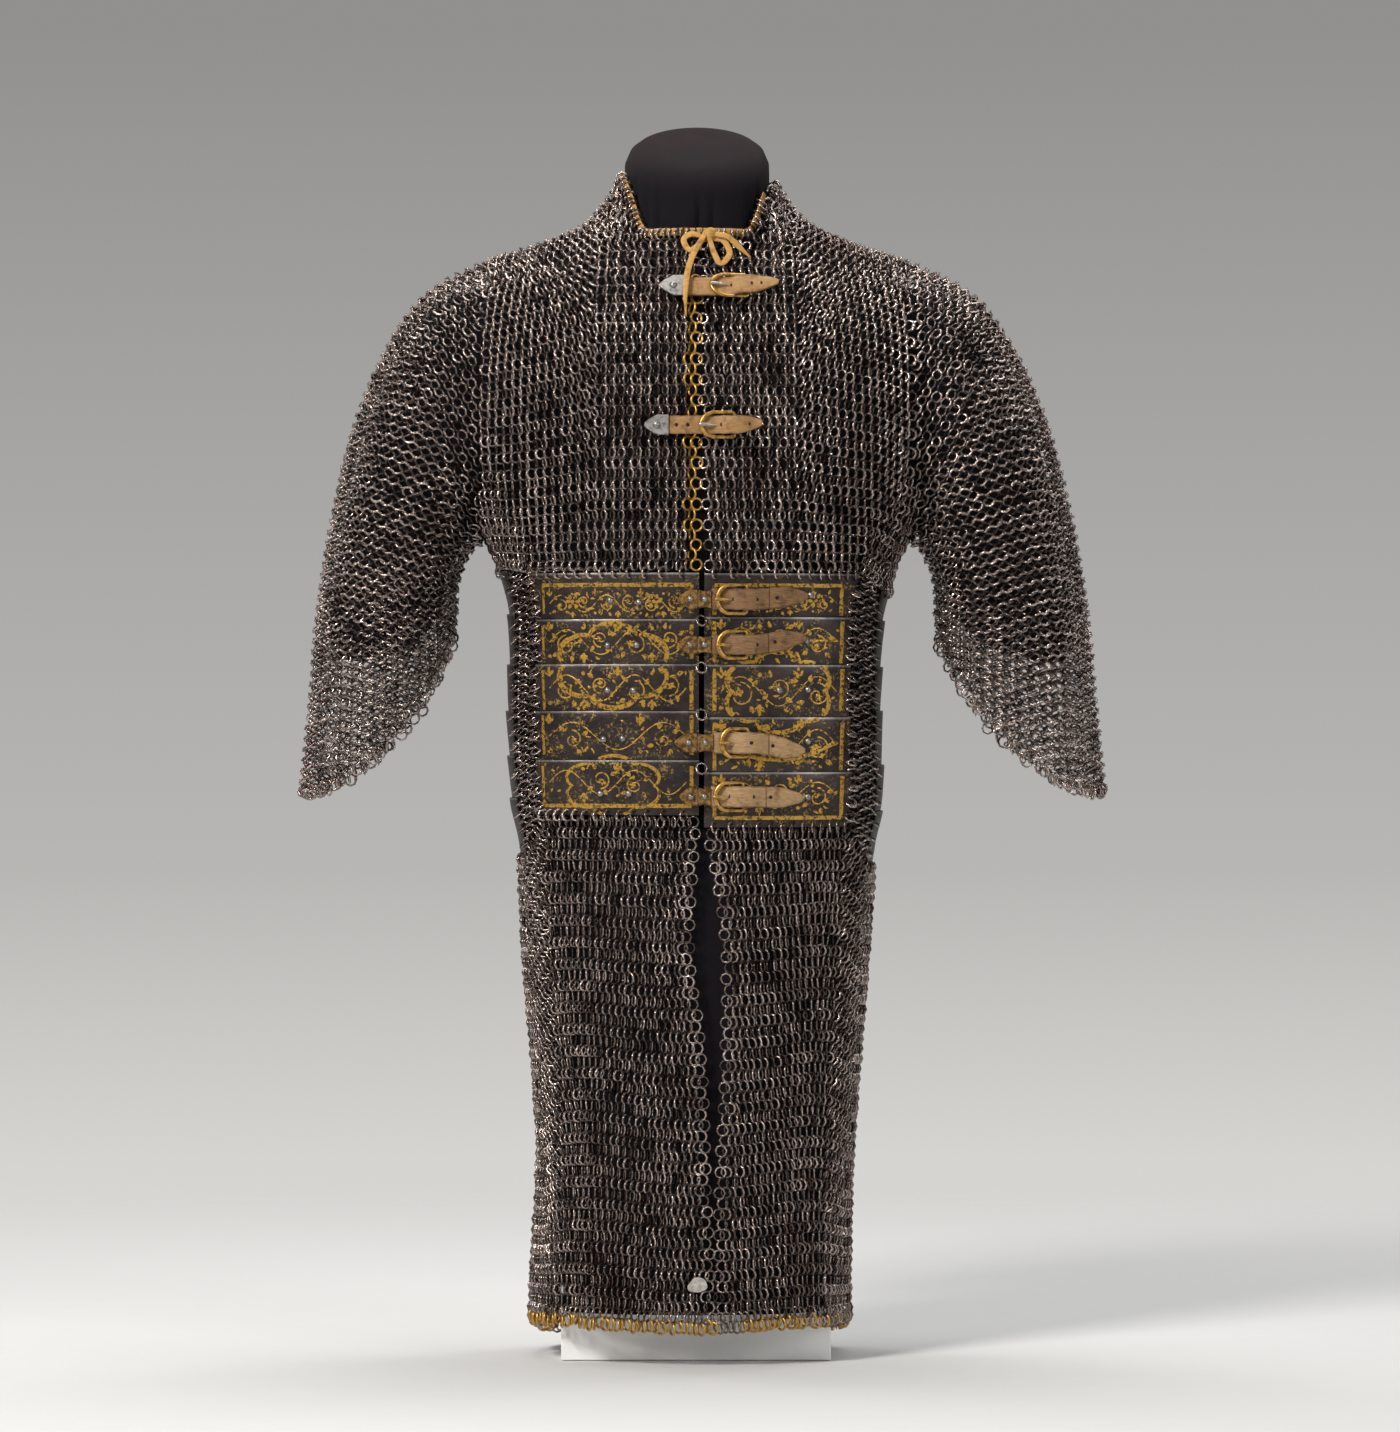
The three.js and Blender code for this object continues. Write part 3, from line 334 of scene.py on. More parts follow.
    def sleeve_point(self, along: Array, turn: Array, side: Side) -> Array:
        """A point of a sleeve: along it from the armscye, and round it from its outer line."""
        reach = self.reach_right if side is Side.RIGHT else 1.0
        outer_x = self.armscye_x + (SLEEVE["outer_x"](along) - self.armscye_x) * reach
        inner_x = self.armscye_x + (SLEEVE["inner_x"](along) - self.armscye_x) / reach
        outer_z, inner_z = SLEEVE["outer_z"](along), SLEEVE["inner_z"](along)
        half_x, half_z = (outer_x - inner_x) / 2, (outer_z - inner_z) / 2
        down_x = half_z / np.hypot(half_x, half_z)
        droop = self.cuff_droop * along ** 3 * np.abs(np.sin(turn)) ** 1.5
        x = (outer_x + inner_x) / 2 + half_x * np.cos(turn) + down_x * droop * 0.4
        z = (outer_z + inner_z) / 2 + half_z * np.cos(turn) - droop
        y = -SLEEVE["depth"](along) * signed_power(np.sin(turn), 0.9)
        return np.stack([side.sign * x, y, z], axis=-1)

    def plate_edge(self, side: Side) -> float:
        """The angle of the front plates' outer edge."""
        return float(abs(self.angle_at(FRONT_EDGES[side][1], self.waist_z)))

    def seam_z(self, angle: Array, side: Side, front: float, flank: float, back: float) -> Array:
        """Height of a seam round the body, between its levels in front, at the side and behind."""
        turn = np.abs(np.where(angle > math.pi, angle - 2 * math.pi, angle))
        inner = self.plate_edge(side)
        to_flank = mix(front, flank, np.clip((turn - inner) / (self.side_front - inner), 0, 1))
        return mix(to_flank, back, np.clip((turn - self.side_back) / self.level, 0, 1))

    def skirt_top(self, angle: Array, side: Side) -> Array:
        """Top of the skirt at an angle."""
        return self.seam_z(angle, side, FRONT_TOPS[side][-1], SIDE_TOPS[side][-1], self.waist_end_back)

    def chest_foot(self, angle: Array, side: Side) -> Array:
        """Foot of the chest at an angle."""
        return self.seam_z(angle, side, FRONT_TOPS[side][0], SIDE_TOPS[side][0], self.chest_top_back)

    def both_sides(self, level: Callable[[Array, Side], Array], angle: Array) -> Array:
        """Reads a seam round the back, where the angle passes from the right side to the left."""
        return np.where(angle <= math.pi, level(angle, Side.RIGHT), level(angle, Side.LEFT))

    def hem_z(self, angle: Array) -> Array:
        """The hem: it drops behind, and a little to the middle of the front."""
        turn = np.where(angle > math.pi, angle - 2 * math.pi, angle)
        return 27 - 3 * np.exp(-((turn / 0.3) ** 2)) - 17 * smooth(1.3, 2.3, np.abs(turn))


SHAPE = ShirtShape()


class Nodes:
    """A tree of nodes, with a short way to add one."""

    def __init__(self, tree: bpy.types.NodeTree) -> None:
        """Takes the tree."""
        self.tree = tree

    def node(self, kind: str, inputs: dict[str | int, object] | None = None,
             **settings: object) -> bpy.types.Node:
        """Adds a node.

        Args:
            kind: The node's type.
            inputs: Values or sockets for its inputs, by name or number.
            settings: Values for its properties.

        Returns:
            The node.
        """
        made = self.tree.nodes.new(kind)
        for name, value in settings.items():
            setattr(made, name, value)
        for name, value in (inputs or {}).items():
            if isinstance(value, Socket):
                self.tree.links.new(value, made.inputs[name])
            else:
                made.inputs[name].default_value = value
        return made


class Recipe(Nodes):
    """A material under way, with short ways to add what it is made of."""

    def __init__(self, name: str) -> None:
        """Starts a material with its shader."""
        self.material = bpy.data.materials.new(name)
        self.material.use_nodes = True
        super().__init__(self.material.node_tree)
        self.shader = self.tree.nodes["Principled BSDF"]

    def place(self, stretch: Colour = (1.0, 1.0, 1.0), source: str = "Object") -> Socket:
        """Object coordinates or, from the source UV, the piece's own map, stretched along the axes."""
        start = self.node("ShaderNodeTexCoord").outputs[source]
        return self.node("ShaderNodeMapping", {"Vector": start, "Scale": stretch}).outputs["Vector"]

    def noise(self, vector: Socket, scale: float, detail: float = 3.0,
              roughness: float = 0.55) -> Socket:
        """A soft noise between 0 and 1."""
        return self.node("ShaderNodeTexNoise", {
            "Vector": vector, "Scale": scale, "Detail": detail, "Roughness": roughness}).outputs["Fac"]

    def spread(self, value: Socket, low: float, high: float, start: float = 0.0,
               end: float = 1.0) -> Socket:
        """Stretches a value from low to high over start to end, softly."""
        return self.node("ShaderNodeMapRange", {
            0: value, 1: low, 2: high, 3: start, 4: end}, interpolation_type="SMOOTHSTEP").outputs[0]

    def maths(self, operation: str, first: object, second: object = 0.0) -> Socket:
        """Works out a value from two."""
        return self.node("ShaderNodeMath", {0: first, 1: second}, operation=operation).outputs[0]

    def attribute(self, name: str) -> Socket:
        """A value that the mesh carries."""
        return self.node("ShaderNodeAttribute", attribute_name=name).outputs["Fac"]

    def part(self, vector: Socket, axis: str) -> Socket:
        """One part of a vector."""
        return self.node("ShaderNodeSeparateXYZ", {0: vector}).outputs[axis]

    def blend(self, share: object, first: object, second: object) -> Socket:
        """Mixes two colours."""
        made = self.node("ShaderNodeMix", data_type="RGBA")
        for name, value in (("Factor", share), ("A", first), ("B", second)):
            socket = next(s for s in made.inputs if s.name == name and s.enabled)
            if isinstance(value, Socket):
                self.tree.links.new(value, socket)
            else:
                socket.default_value = value if name == "Factor" else (*value, 1.0)
        return next(s for s in made.outputs if s.enabled)

    def bump(self, height: Socket, distance: float, strength: float = 1.0) -> None:
        """Raises the surface by a height, over what was raised before."""
        inputs: dict[str | int, object] = {"Height": height, "Distance": distance, "Strength": strength}
        if self.shader.inputs["Normal"].links:
            inputs["Normal"] = self.shader.inputs["Normal"].links[0].from_socket
        self.feed("Normal", self.node("ShaderNodeBump", inputs).outputs["Normal"])

    def feed(self, name: str, value: object) -> None:
        """Joins a socket, or sets a value, to the shader's input of that name."""
        if isinstance(value, Socket):
            self.tree.links.new(value, self.shader.inputs[name])
        else:
            self.shader.inputs[name].default_value = value


@dataclass(frozen=True)
class RingWire:
    """Drawn wire of the mail's rings: each ring has its own tone, and browner patches lie between."""

    name: str = "browned ring wire"
    dark: Colour = (0.045, 0.031, 0.027)
    bright: Colour = (0.76, 0.62, 0.555)
    rust: Colour = (0.10, 0.053, 0.038)
    metallic: float = 0.85
    rough: tuple[float, float] = (0.15, 0.32)

    def make(self) -> bpy.types.Material:
        """Builds the material."""
        recipe = Recipe(self.name)
        place = recipe.place()
        tone = recipe.attribute("tone")
        patches = recipe.noise(place, 22, 4)
        grain = recipe.noise(place, 1400, 3)
        steel = recipe.blend(recipe.maths("MULTIPLY", tone, recipe.spread(grain, 0.3, 0.7, 0.5, 1.0)),
                             self.dark, self.bright)
        colour = recipe.blend(recipe.spread(patches, 0.5, 0.72, 0.0, 0.6), steel, self.rust)
        recipe.feed("Base Color", colour)
        recipe.feed("Metallic", self.metallic)
        recipe.feed("Roughness", recipe.spread(grain, 0.25, 0.75, *self.rough))
        return recipe.material


@dataclass(frozen=True)
class PlateSteel:
    """Rolled and browned plate: cloudy, scratched along its length, and bright along its top edge, partly
    wear and partly a painted highlight where light from above catches that edge.
    """

    name: str
    ground: Colour
    cloud: Colour
    # Colour of the scratches, and of the top edge's wear and painted highlight.
    edge: Colour = (0.42, 0.39, 0.36)
    residue: float = 0.0
    gold: Colour = (0.48, 0.31, 0.085)

    def make(self) -> bpy.types.Material:
        """Builds the material."""
        recipe = Recipe(self.name)
        place = recipe.place()
        cloud = recipe.spread(recipe.noise(place, 38, 5, 0.62), 0.35, 0.68)
        scratch = recipe.noise(recipe.place((60.0, 60.0, 900.0)), 4, 3)
        fleck = recipe.noise(place, 520, 3, 0.6)
        base = recipe.blend(cloud, self.ground, self.cloud)
        base = recipe.blend(recipe.spread(scratch, 0.6, 0.8, 0.0, 0.3), base, self.edge)
        if self.residue:
            gilt = recipe.maths("MULTIPLY", recipe.spread(fleck, 0.52, 0.64),
                                recipe.spread(recipe.noise(place, 90, 2), 0.46, 0.62, 0.0, self.residue))
            base = recipe.blend(gilt, base, self.gold)
        # The top edge is painted lighter: part wear, part a painted highlight where light from above catches
        # the edge.
        rim = recipe.spread(recipe.part(recipe.place(source="UV"), "Y"), 0.955, 0.985)
        worn_and_lit_top_edge = recipe.maths("MULTIPLY", rim, recipe.spread(cloud, 0.1, 0.9, 0.35, 0.72))
        recipe.feed("Base Color", recipe.blend(worn_and_lit_top_edge, base, self.edge))
        recipe.feed("Metallic", 0.8)
        recipe.feed("Roughness", recipe.spread(fleck, 0.3, 0.75, 0.34, 0.52))
        recipe.bump(recipe.noise(place, 160, 4), 0.0003, 0.5)
        recipe.bump(fleck, 0.00008, 0.6)
        return recipe.material


@dataclass(frozen=True)
class WornMetal:
    """Brass, gilding or bright steel with a darker film in its low places."""

    name: str
    bright: Colour
    film: Colour
    cover: tuple[float, float] = (0.42, 0.66)
    scale: float = 260.0
    rough: tuple[float, float] = (0.3, 0.5)
    metallic: float = 0.9

    def make(self) -> bpy.types.Material:
        """Builds the material."""
        recipe = Recipe(self.name)
        place = recipe.place()
        wear = recipe.spread(recipe.noise(place, self.scale, 5, 0.65), *self.cover)
        fine = recipe.noise(place, self.scale * 6, 2)
        recipe.feed("Base Color", recipe.blend(wear, self.bright, self.film))
        recipe.feed("Metallic", self.metallic)
        recipe.feed("Roughness", recipe.spread(fine, 0.3, 0.7, *self.rough))
        recipe.bump(fine, 0.00006, 0.6)
        return recipe.material


@dataclass(frozen=True)
class WornLeather:
    """Old vegetable-tanned leather with streaks along it, darker towards its long edges, and cross lines of
    painted shade where it is creased.
    """

    name: str
    tan: Colour
    shade: Colour
    pale: Colour
    # Places along the strap, as shares, of lines of painted crease shade.
    crease_shades: tuple[float, ...] = ()

    def make(self) -> bpy.types.Material:
        """Builds the material."""
        recipe = Recipe(self.name)
        place, own = recipe.place(), recipe.place(source="UV")
        streak = recipe.noise(recipe.place((60.0, 60.0, 620.0)), 3, 4, 0.6)
        mottle = recipe.noise(place, 130, 4)
        grain = recipe.noise(place, 1500, 3)
        base = recipe.blend(recipe.spread(streak, 0.35, 0.7), self.tan, self.pale)
        base = recipe.blend(recipe.spread(mottle, 0.5, 0.74, 0.0, 0.75), base, self.shade)
        # Darker towards both long edges.
        side = recipe.maths("ABSOLUTE", recipe.maths("SUBTRACT", recipe.part(own, "Y"), 0.5))
        dark = recipe.spread(side, 0.4, 0.5, 0.0, 0.7)
        # Each crease is a dark line across the strap: a painted shade, with no fold in the shape.
        for crease in self.crease_shades:
            away = recipe.maths("ABSOLUTE", recipe.maths("SUBTRACT", recipe.part(own, "X"), crease))
            line = recipe.spread(away, 0.004, 0.012, 0.85, 0.0)
            dark = recipe.maths("MAXIMUM", dark, line)
        recipe.feed("Base Color", recipe.blend(dark, base, self.shade))
        recipe.feed("Roughness", recipe.spread(mottle, 0.3, 0.7, 0.55, 0.8))
        recipe.bump(grain, 0.00012, 0.7)
        recipe.bump(streak, 0.0002, 0.5)
        return recipe.material


@dataclass(frozen=True)
class Felt:
    """Black felt with short fuzz, a little browner towards its top."""

    name: str = "black felt"
    black: Colour = (0.008, 0.007, 0.009)
    brown: Colour = (0.018, 0.010, 0.011)
    fuzz: Colour = (0.032, 0.027, 0.030)
    browner_above: float = 0.875

    def make(self) -> bpy.types.Material:
        """Builds the material."""
        recipe = Recipe(self.name)
        place = recipe.place()
        fibre = recipe.noise(place, 1100, 4, 0.7)
        cloud = recipe.noise(place, 60, 3)
        # Browner above a height, in patches.
        height = recipe.spread(recipe.part(place, "Z"), self.browner_above, self.browner_above + 0.05, 0.0, 0.8)
        worn = recipe.maths("MULTIPLY", height, recipe.spread(cloud, 0.25, 0.7, 0.5, 1.0))
        base = recipe.blend(worn, self.black, self.brown)
        lint = recipe.blend(recipe.spread(fibre, 0.5, 0.8, 0.0, 0.35), base, self.fuzz)
        recipe.feed("Base Color", lint)
        recipe.feed("Roughness", 0.95)
        recipe.feed("Sheen Weight", 0.02)
        recipe.feed("Sheen Roughness", 0.6)
        recipe.feed("Specular IOR Level", 0.06)
        recipe.bump(fibre, 0.0005, 0.8)
        return recipe.material


@dataclass(frozen=True)
class Paint:
    """A plain painted or papered surface with a faint roller grain."""

    name: str
    colour: Colour
    rough: float = 0.6
    stain: float = 0.06

    def make(self) -> bpy.types.Material:
        """Builds the material."""
        recipe = Recipe(self.name)
        place = recipe.place()
        shade = tuple(channel * (1 - self.stain) for channel in self.colour)
        recipe.feed("Base Color", recipe.blend(recipe.spread(recipe.noise(place, 9, 3), 0.3, 0.7),
                                               self.colour, shade))
        recipe.feed("Roughness", self.rough)
        recipe.bump(recipe.noise(place, 900, 2), 0.00004, 0.5)
        return recipe.material


STEEL_WIRE = RingWire()
BRASS_WIRE = WornMetal("brass ring wire", (0.56, 0.33, 0.075), (0.14, 0.08, 0.03), (0.5, 0.75))
FRONT_STEEL = PlateSteel("gilded plate steel", (0.034, 0.027, 0.028), (0.070, 0.054, 0.049), residue=0.7)
SIDE_STEEL = PlateSteel("bare plate steel", (0.048, 0.038, 0.034), (0.085, 0.067, 0.058), (0.30, 0.27, 0.25))
GILDING = WornMetal("worn gilding", (0.66, 0.38, 0.065), (0.085, 0.055, 0.035), (0.47, 0.62), 420.0)
GILT_MOUNT = WornMetal("gilt mount", (0.50, 0.29, 0.085), (0.15, 0.08, 0.042), (0.38, 0.60), 300.0)
BUCKLE_BRASS = WornMetal("buckle brass", (0.58, 0.34, 0.085), (0.18, 0.095, 0.03), (0.42, 0.70), 240.0)
RIVET_STEEL = WornMetal("rivet steel", (0.34, 0.325, 0.31), (0.10, 0.085, 0.078), (0.45, 0.7), 500.0)
MOUNT_STEEL = WornMetal("mount steel", (0.46, 0.44, 0.42), (0.20, 0.18, 0.17), (0.45, 0.7), 380.0)
CHEST_LEATHER = WornLeather("chest strap leather", (0.25, 0.126, 0.036), (0.09, 0.039, 0.013),
                            (0.37, 0.21, 0.075))
WAIST_LEATHER = WornLeather("waist strap leather", (0.26, 0.150, 0.060), (0.10, 0.045, 0.018),
                            (0.40, 0.26, 0.13), (0.60,))
UPPER_LEATHER = WornLeather("upper waist strap leather", (0.135, 0.062, 0.022), (0.045, 0.018, 0.009),
                            (0.25, 0.135, 0.052), (0.60,))
LACE_LEATHER = WornLeather("lace leather", (0.40, 0.20, 0.036), (0.16, 0.066, 0.014), (0.50, 0.275, 0.065))
FELT = Felt()
WHITE_PAINT = Paint("white block paint", (0.90, 0.90, 0.895), 0.55)
TIN = WornMetal("dull tin", (0.50, 0.48, 0.44), (0.33, 0.31, 0.28), (0.4, 0.6), 300.0, (0.5, 0.7), 0.35)
HOLE_SHADE = Paint("shade of a hole", (0.006, 0.005, 0.005), 0.9, 0.0)


class Bench:
    """The workbench: ways to add, shape, join and finish pieces."""

    made: dict[str, bpy.types.Material] = {}

    @classmethod
    def paint(cls, piece: Piece, finish: object) -> None:
        """Gives a piece its finish, which is made once and shared."""
        if finish.name not in cls.made:
            cls.made[finish.name] = finish.make()
        piece.data.materials.clear()
        piece.data.materials.append(cls.made[finish.name])

    @staticmethod
    def add(name: str, data: bpy.types.ID) -> Piece:
        """Puts new data into the scene."""
        piece = bpy.data.objects.new(name, data)
        bpy.context.scene.collection.objects.link(piece)
        return piece

    @staticmethod
    def clear() -> None:
        """Deselects everything."""
        bpy.ops.object.select_all(action="DESELECT")

    @staticmethod
    def choose(piece: Piece) -> None:
        """Selects one piece alone."""
        Bench.clear()
        piece.select_set(True)
        bpy.context.view_layer.objects.active = piece

    @classmethod
    def shade(cls, piece: Piece, angle: float = 40.0) -> None:
        """Smooths a piece where its faces meet at less than an angle in degrees."""
        cls.choose(piece)
        bpy.ops.object.shade_smooth_by_angle(angle=math.radians(angle))

    @classmethod
    def apply(cls, piece: Piece, kind: str, **settings: object) -> None:
        """Adds a modifier and applies it at once.

        Args:
            piece: The piece to change.
            kind: The modifier's type.
            settings: Its settings.
        """
        cls.choose(piece)
        modifier = piece.modifiers.new(kind.title(), kind)
        for name, value in settings.items():
            setattr(modifier, name, value)
        bpy.ops.object.modifier_apply(modifier=modifier.name)

    @staticmethod
    def points(piece: Piece) -> Array:
        """Reads a piece's points."""
        flat = np.empty(len(piece.data.vertices) * 3)
        piece.data.vertices.foreach_get("co", flat)
        return flat.reshape(-1, 3)

    @staticmethod
    def move(piece: Piece, points: Array) -> None:
        """Moves a piece's points."""
        piece.data.vertices.foreach_set("co", np.asarray(points, float).ravel())
        piece.data.update()

    @classmethod
    def new(cls, name: str) -> Piece:
        """Names the primitive that was just added and puts its object at the origin."""
        piece = bpy.context.object
        piece.name = piece.data.name = name
        bpy.ops.object.transform_apply(location=True, rotation=True, scale=True)
        return piece

    @classmethod
    def panel(cls, name: str, columns: int, rows: int, surface: Surface, thickness: float,
              bevel: float = 0.0) -> Piece:
        """Bends a grid onto a surface and gives it thickness and soft edges.

        Args:
            name: The piece's name.
            columns: Faces along u.
            rows: Faces along v.
            surface: The panel's middle over u and v from 0 to 1, in millimetres.
            thickness: Its thickness in millimetres.
            bevel: Width of its soft edges in millimetres.

        Returns:
            The panel.
        """
        Bench.clear()
        bpy.ops.mesh.primitive_grid_add(x_subdivisions=columns, y_subdivisions=rows, size=1)
        piece = cls.new(name)
        flat = cls.points(piece) + 0.5
        cls.move(piece, to_frame(surface(flat[:, 0], flat[:, 1])))
        cls.apply(piece, "SOLIDIFY", thickness=thickness / 1000, offset=0.0, use_even_offset=True)
        if bevel:
            cls.apply(piece, "BEVEL", width=bevel / 1000, segments=2, limit_method="ANGLE",
                      angle_limit=math.radians(50))
        cls.shade(piece)
        return piece

    @classmethod
    def ball(cls, name: str, segments: int, rings: int, surface: Surface) -> Piece:
        """Shapes a sphere, whose surface is over the share round it and the share down it.

        Args:
            name: The piece's name.
            segments: Faces round it.
            rings: Faces from its top to its bottom.
            surface: Its points over the two shares, in millimetres.

        Returns:
            The closed piece.
        """
        Bench.clear()
        bpy.ops.mesh.primitive_uv_sphere_add(segments=segments, ring_count=rings, radius=1)
        piece = cls.new(name)
        co = cls.points(piece)
        cls.move(piece, to_frame(surface(np.arctan2(co[:, 0], -co[:, 1]) / (2 * math.pi),
                                         np.arccos(np.clip(co[:, 2], -1, 1)) / math.pi)))
        cls.outwards(piece)
        return piece

    @classmethod
    def outwards(cls, piece: Piece, angle: float = 40.0) -> None:
        """Turns a closed piece's faces outwards and smooths it."""
        cls.choose(piece)
        bpy.ops.object.mode_set(mode="EDIT")
        bpy.ops.mesh.select_all(action="SELECT")
        bpy.ops.mesh.remove_doubles(threshold=1e-6)
        bpy.ops.mesh.normals_make_consistent(inside=False)
        bpy.ops.object.mode_set(mode="OBJECT")
        cls.shade(piece, angle)

    @staticmethod
    def mesh(name: str, points: Array, faces: Array, values: dict[str, Array] | None = None) -> Piece:
        """Makes a piece from arrays of points in metres and of faces with equally many corners.

        Args:
            name: The piece's name.
            points: Its points.
            faces: The corners of its faces.
            values: Values that its points carry, by name.

        Returns:
            The piece.
        """
        data = bpy.data.meshes.new(name)
        data.vertices.add(len(points))
        data.vertices.foreach_set("co", np.asarray(points, np.float32).ravel())
        data.loops.add(faces.size)
        data.loops.foreach_set("vertex_index", faces.ravel().astype(np.int32))
        data.polygons.add(len(faces))
        data.polygons.foreach_set("loop_start", np.arange(0, faces.size, faces.shape[1], dtype=np.int32))
        data.polygons.foreach_set("use_smooth", np.full(len(faces), True))
        for label, value in (values or {}).items():
            data.attributes.new(label, "FLOAT", "POINT").data.foreach_set("value", value.astype(np.float32))
        data.update(calc_edges=True)
        data.validate()
        return Bench.add(name, data)

    @classmethod
    def join(cls, name: str, pieces: list[Piece]) -> Piece:
        """Joins pieces into one."""
        Bench.clear()
        for piece in pieces:
            piece.select_set(True)
        bpy.context.view_layer.objects.active = pieces[0]
        bpy.ops.object.join()
        pieces[0].name = pieces[0].data.name = name
        return pieces[0]

    @classmethod
    def seat(cls, piece: Piece, finish: object, slot: str, *nodes: str) -> Piece:
        """Finishes a piece, lets it ride on the shirt and stand for CAD nodes, and reports it."""
        cls.paint(piece, finish)
        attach(piece, "root")
        if nodes:
            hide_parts(*nodes)
        corners_in_faces = len(piece.data.loops) - 2 * len(piece.data.polygons)
        LOG.info("%s: %d triangles", piece.name, corners_in_faces)
        return piece


@dataclass(frozen=True, eq=False)
class Pattern:
    """A small closed model that is made once and copied to many seats, each copy with its own points."""

    points: Array
    faces: Array

    @classmethod
    def ring(cls, outer: float, wire: float, segments: int, sides: int) -> "Pattern":
        """Models one ring of wire.

        Args:
            outer: Its outer diameter in millimetres.
            wire: The wire's diameter.
            segments: Faces round the ring.
            sides: Faces round the wire.

        Returns:
            The pattern.
        """
        Bench.clear()
        bpy.ops.mesh.primitive_torus_add(major_segments=segments, minor_segments=sides,
                                         major_radius=(outer - wire) / 2, minor_radius=wire / 2)
        return cls.take()

    @classmethod
    def dome(cls, radius: float, height: float, segments: int = 10, rings: int = 8) -> "Pattern":
        """Models a domed rivet head with a flat, closed foot."""
        Bench.clear()
        bpy.ops.mesh.primitive_uv_sphere_add(segments=segments, ring_count=rings, radius=1)
        piece = bpy.context.object
        points = Bench.points(piece)
        points[:, 2] = np.maximum(points[:, 2], -0.25) * height
        points[:, :2] *= radius
        Bench.move(piece, points)
        return cls.take()

    @classmethod
    def take(cls) -> "Pattern":
        """Reads the primitive that was just added, as triangles or quads, and removes it."""
        piece = bpy.context.object
        if len({len(face.vertices) for face in piece.data.polygons}) > 1:
            Bench.apply(piece, "TRIANGULATE")
        faces = np.array([list(face.vertices) for face in piece.data.polygons])
        pattern = cls(Bench.points(piece), faces)
        bpy.data.objects.remove(piece)
        return pattern

    def copies(self, name: str, seats: "Seats") -> Piece:
        """Copies the pattern to all seats as one joined mesh.

        Args:
            name: The piece's name.
            seats: Where the copies sit.

        Returns:
            The piece.
        """
        local = self.points[None, :, :] * seats.size[:, None, None]
        turned = (local[..., :1] * seats.across[:, None] + local[..., 1:2] * seats.up[:, None]
                  + local[..., 2:] * seats.axis[:, None])
        points = (seats.centre[:, None] + turned).reshape(-1, 3)
        step = np.arange(len(seats.centre))[:, None, None] * len(self.points)
        faces = (self.faces[None] + step).reshape(-1, self.faces.shape[1])
        tone = np.repeat(seats.tone, len(self.points))
        return Bench.mesh(name, to_frame(points), faces, {"tone": tone})


@dataclass
class Seats:
    """Places and turns for many copies of a pattern."""

    centre: Array
    across: Array
    up: Array
    axis: Array
    tone: Array
    size: Array

    @classmethod
    def facing(cls, centre: Array, axis: Array, up: Array, tone: Array | float,
               size: Array | float = 1.0) -> "Seats":
        """Makes seats whose copies face along an axis.

        Args:
            centre: The places.
            axis: The directions that the copies' own z takes.
            up: Directions that their own y comes near to.
            tone: Their tones.
            size: Their scales.

        Returns:
            The seats.
        """
        axis = unit(axis)
        across = unit(np.cross(up, axis))
        tone, size = (np.broadcast_to(value, len(centre)) for value in (tone, size))
        return cls(centre, across, np.cross(axis, across), axis, tone, size)

    def only(self, chosen: Array) -> "Seats":
        """The chosen seats."""
        return Seats(*(value[chosen] for value in vars(self).values()))

    @classmethod
    def all_of(cls, groups: list["Seats"]) -> "Seats":
        """Puts groups of seats together."""
        return cls(*(np.concatenate(values) for values in zip(*(vars(group).values() for group in groups))))


SKIRT_RING = Pattern.ring(10.4, 1.86, 8, 3)
RING = Pattern.ring(10.5, 2.0, 8, 3)
CHEST_RING = Pattern.ring(10.6, 2.3, 8, 3)
FINE_RING = Pattern.ring(10.6, 1.9, 14, 5)


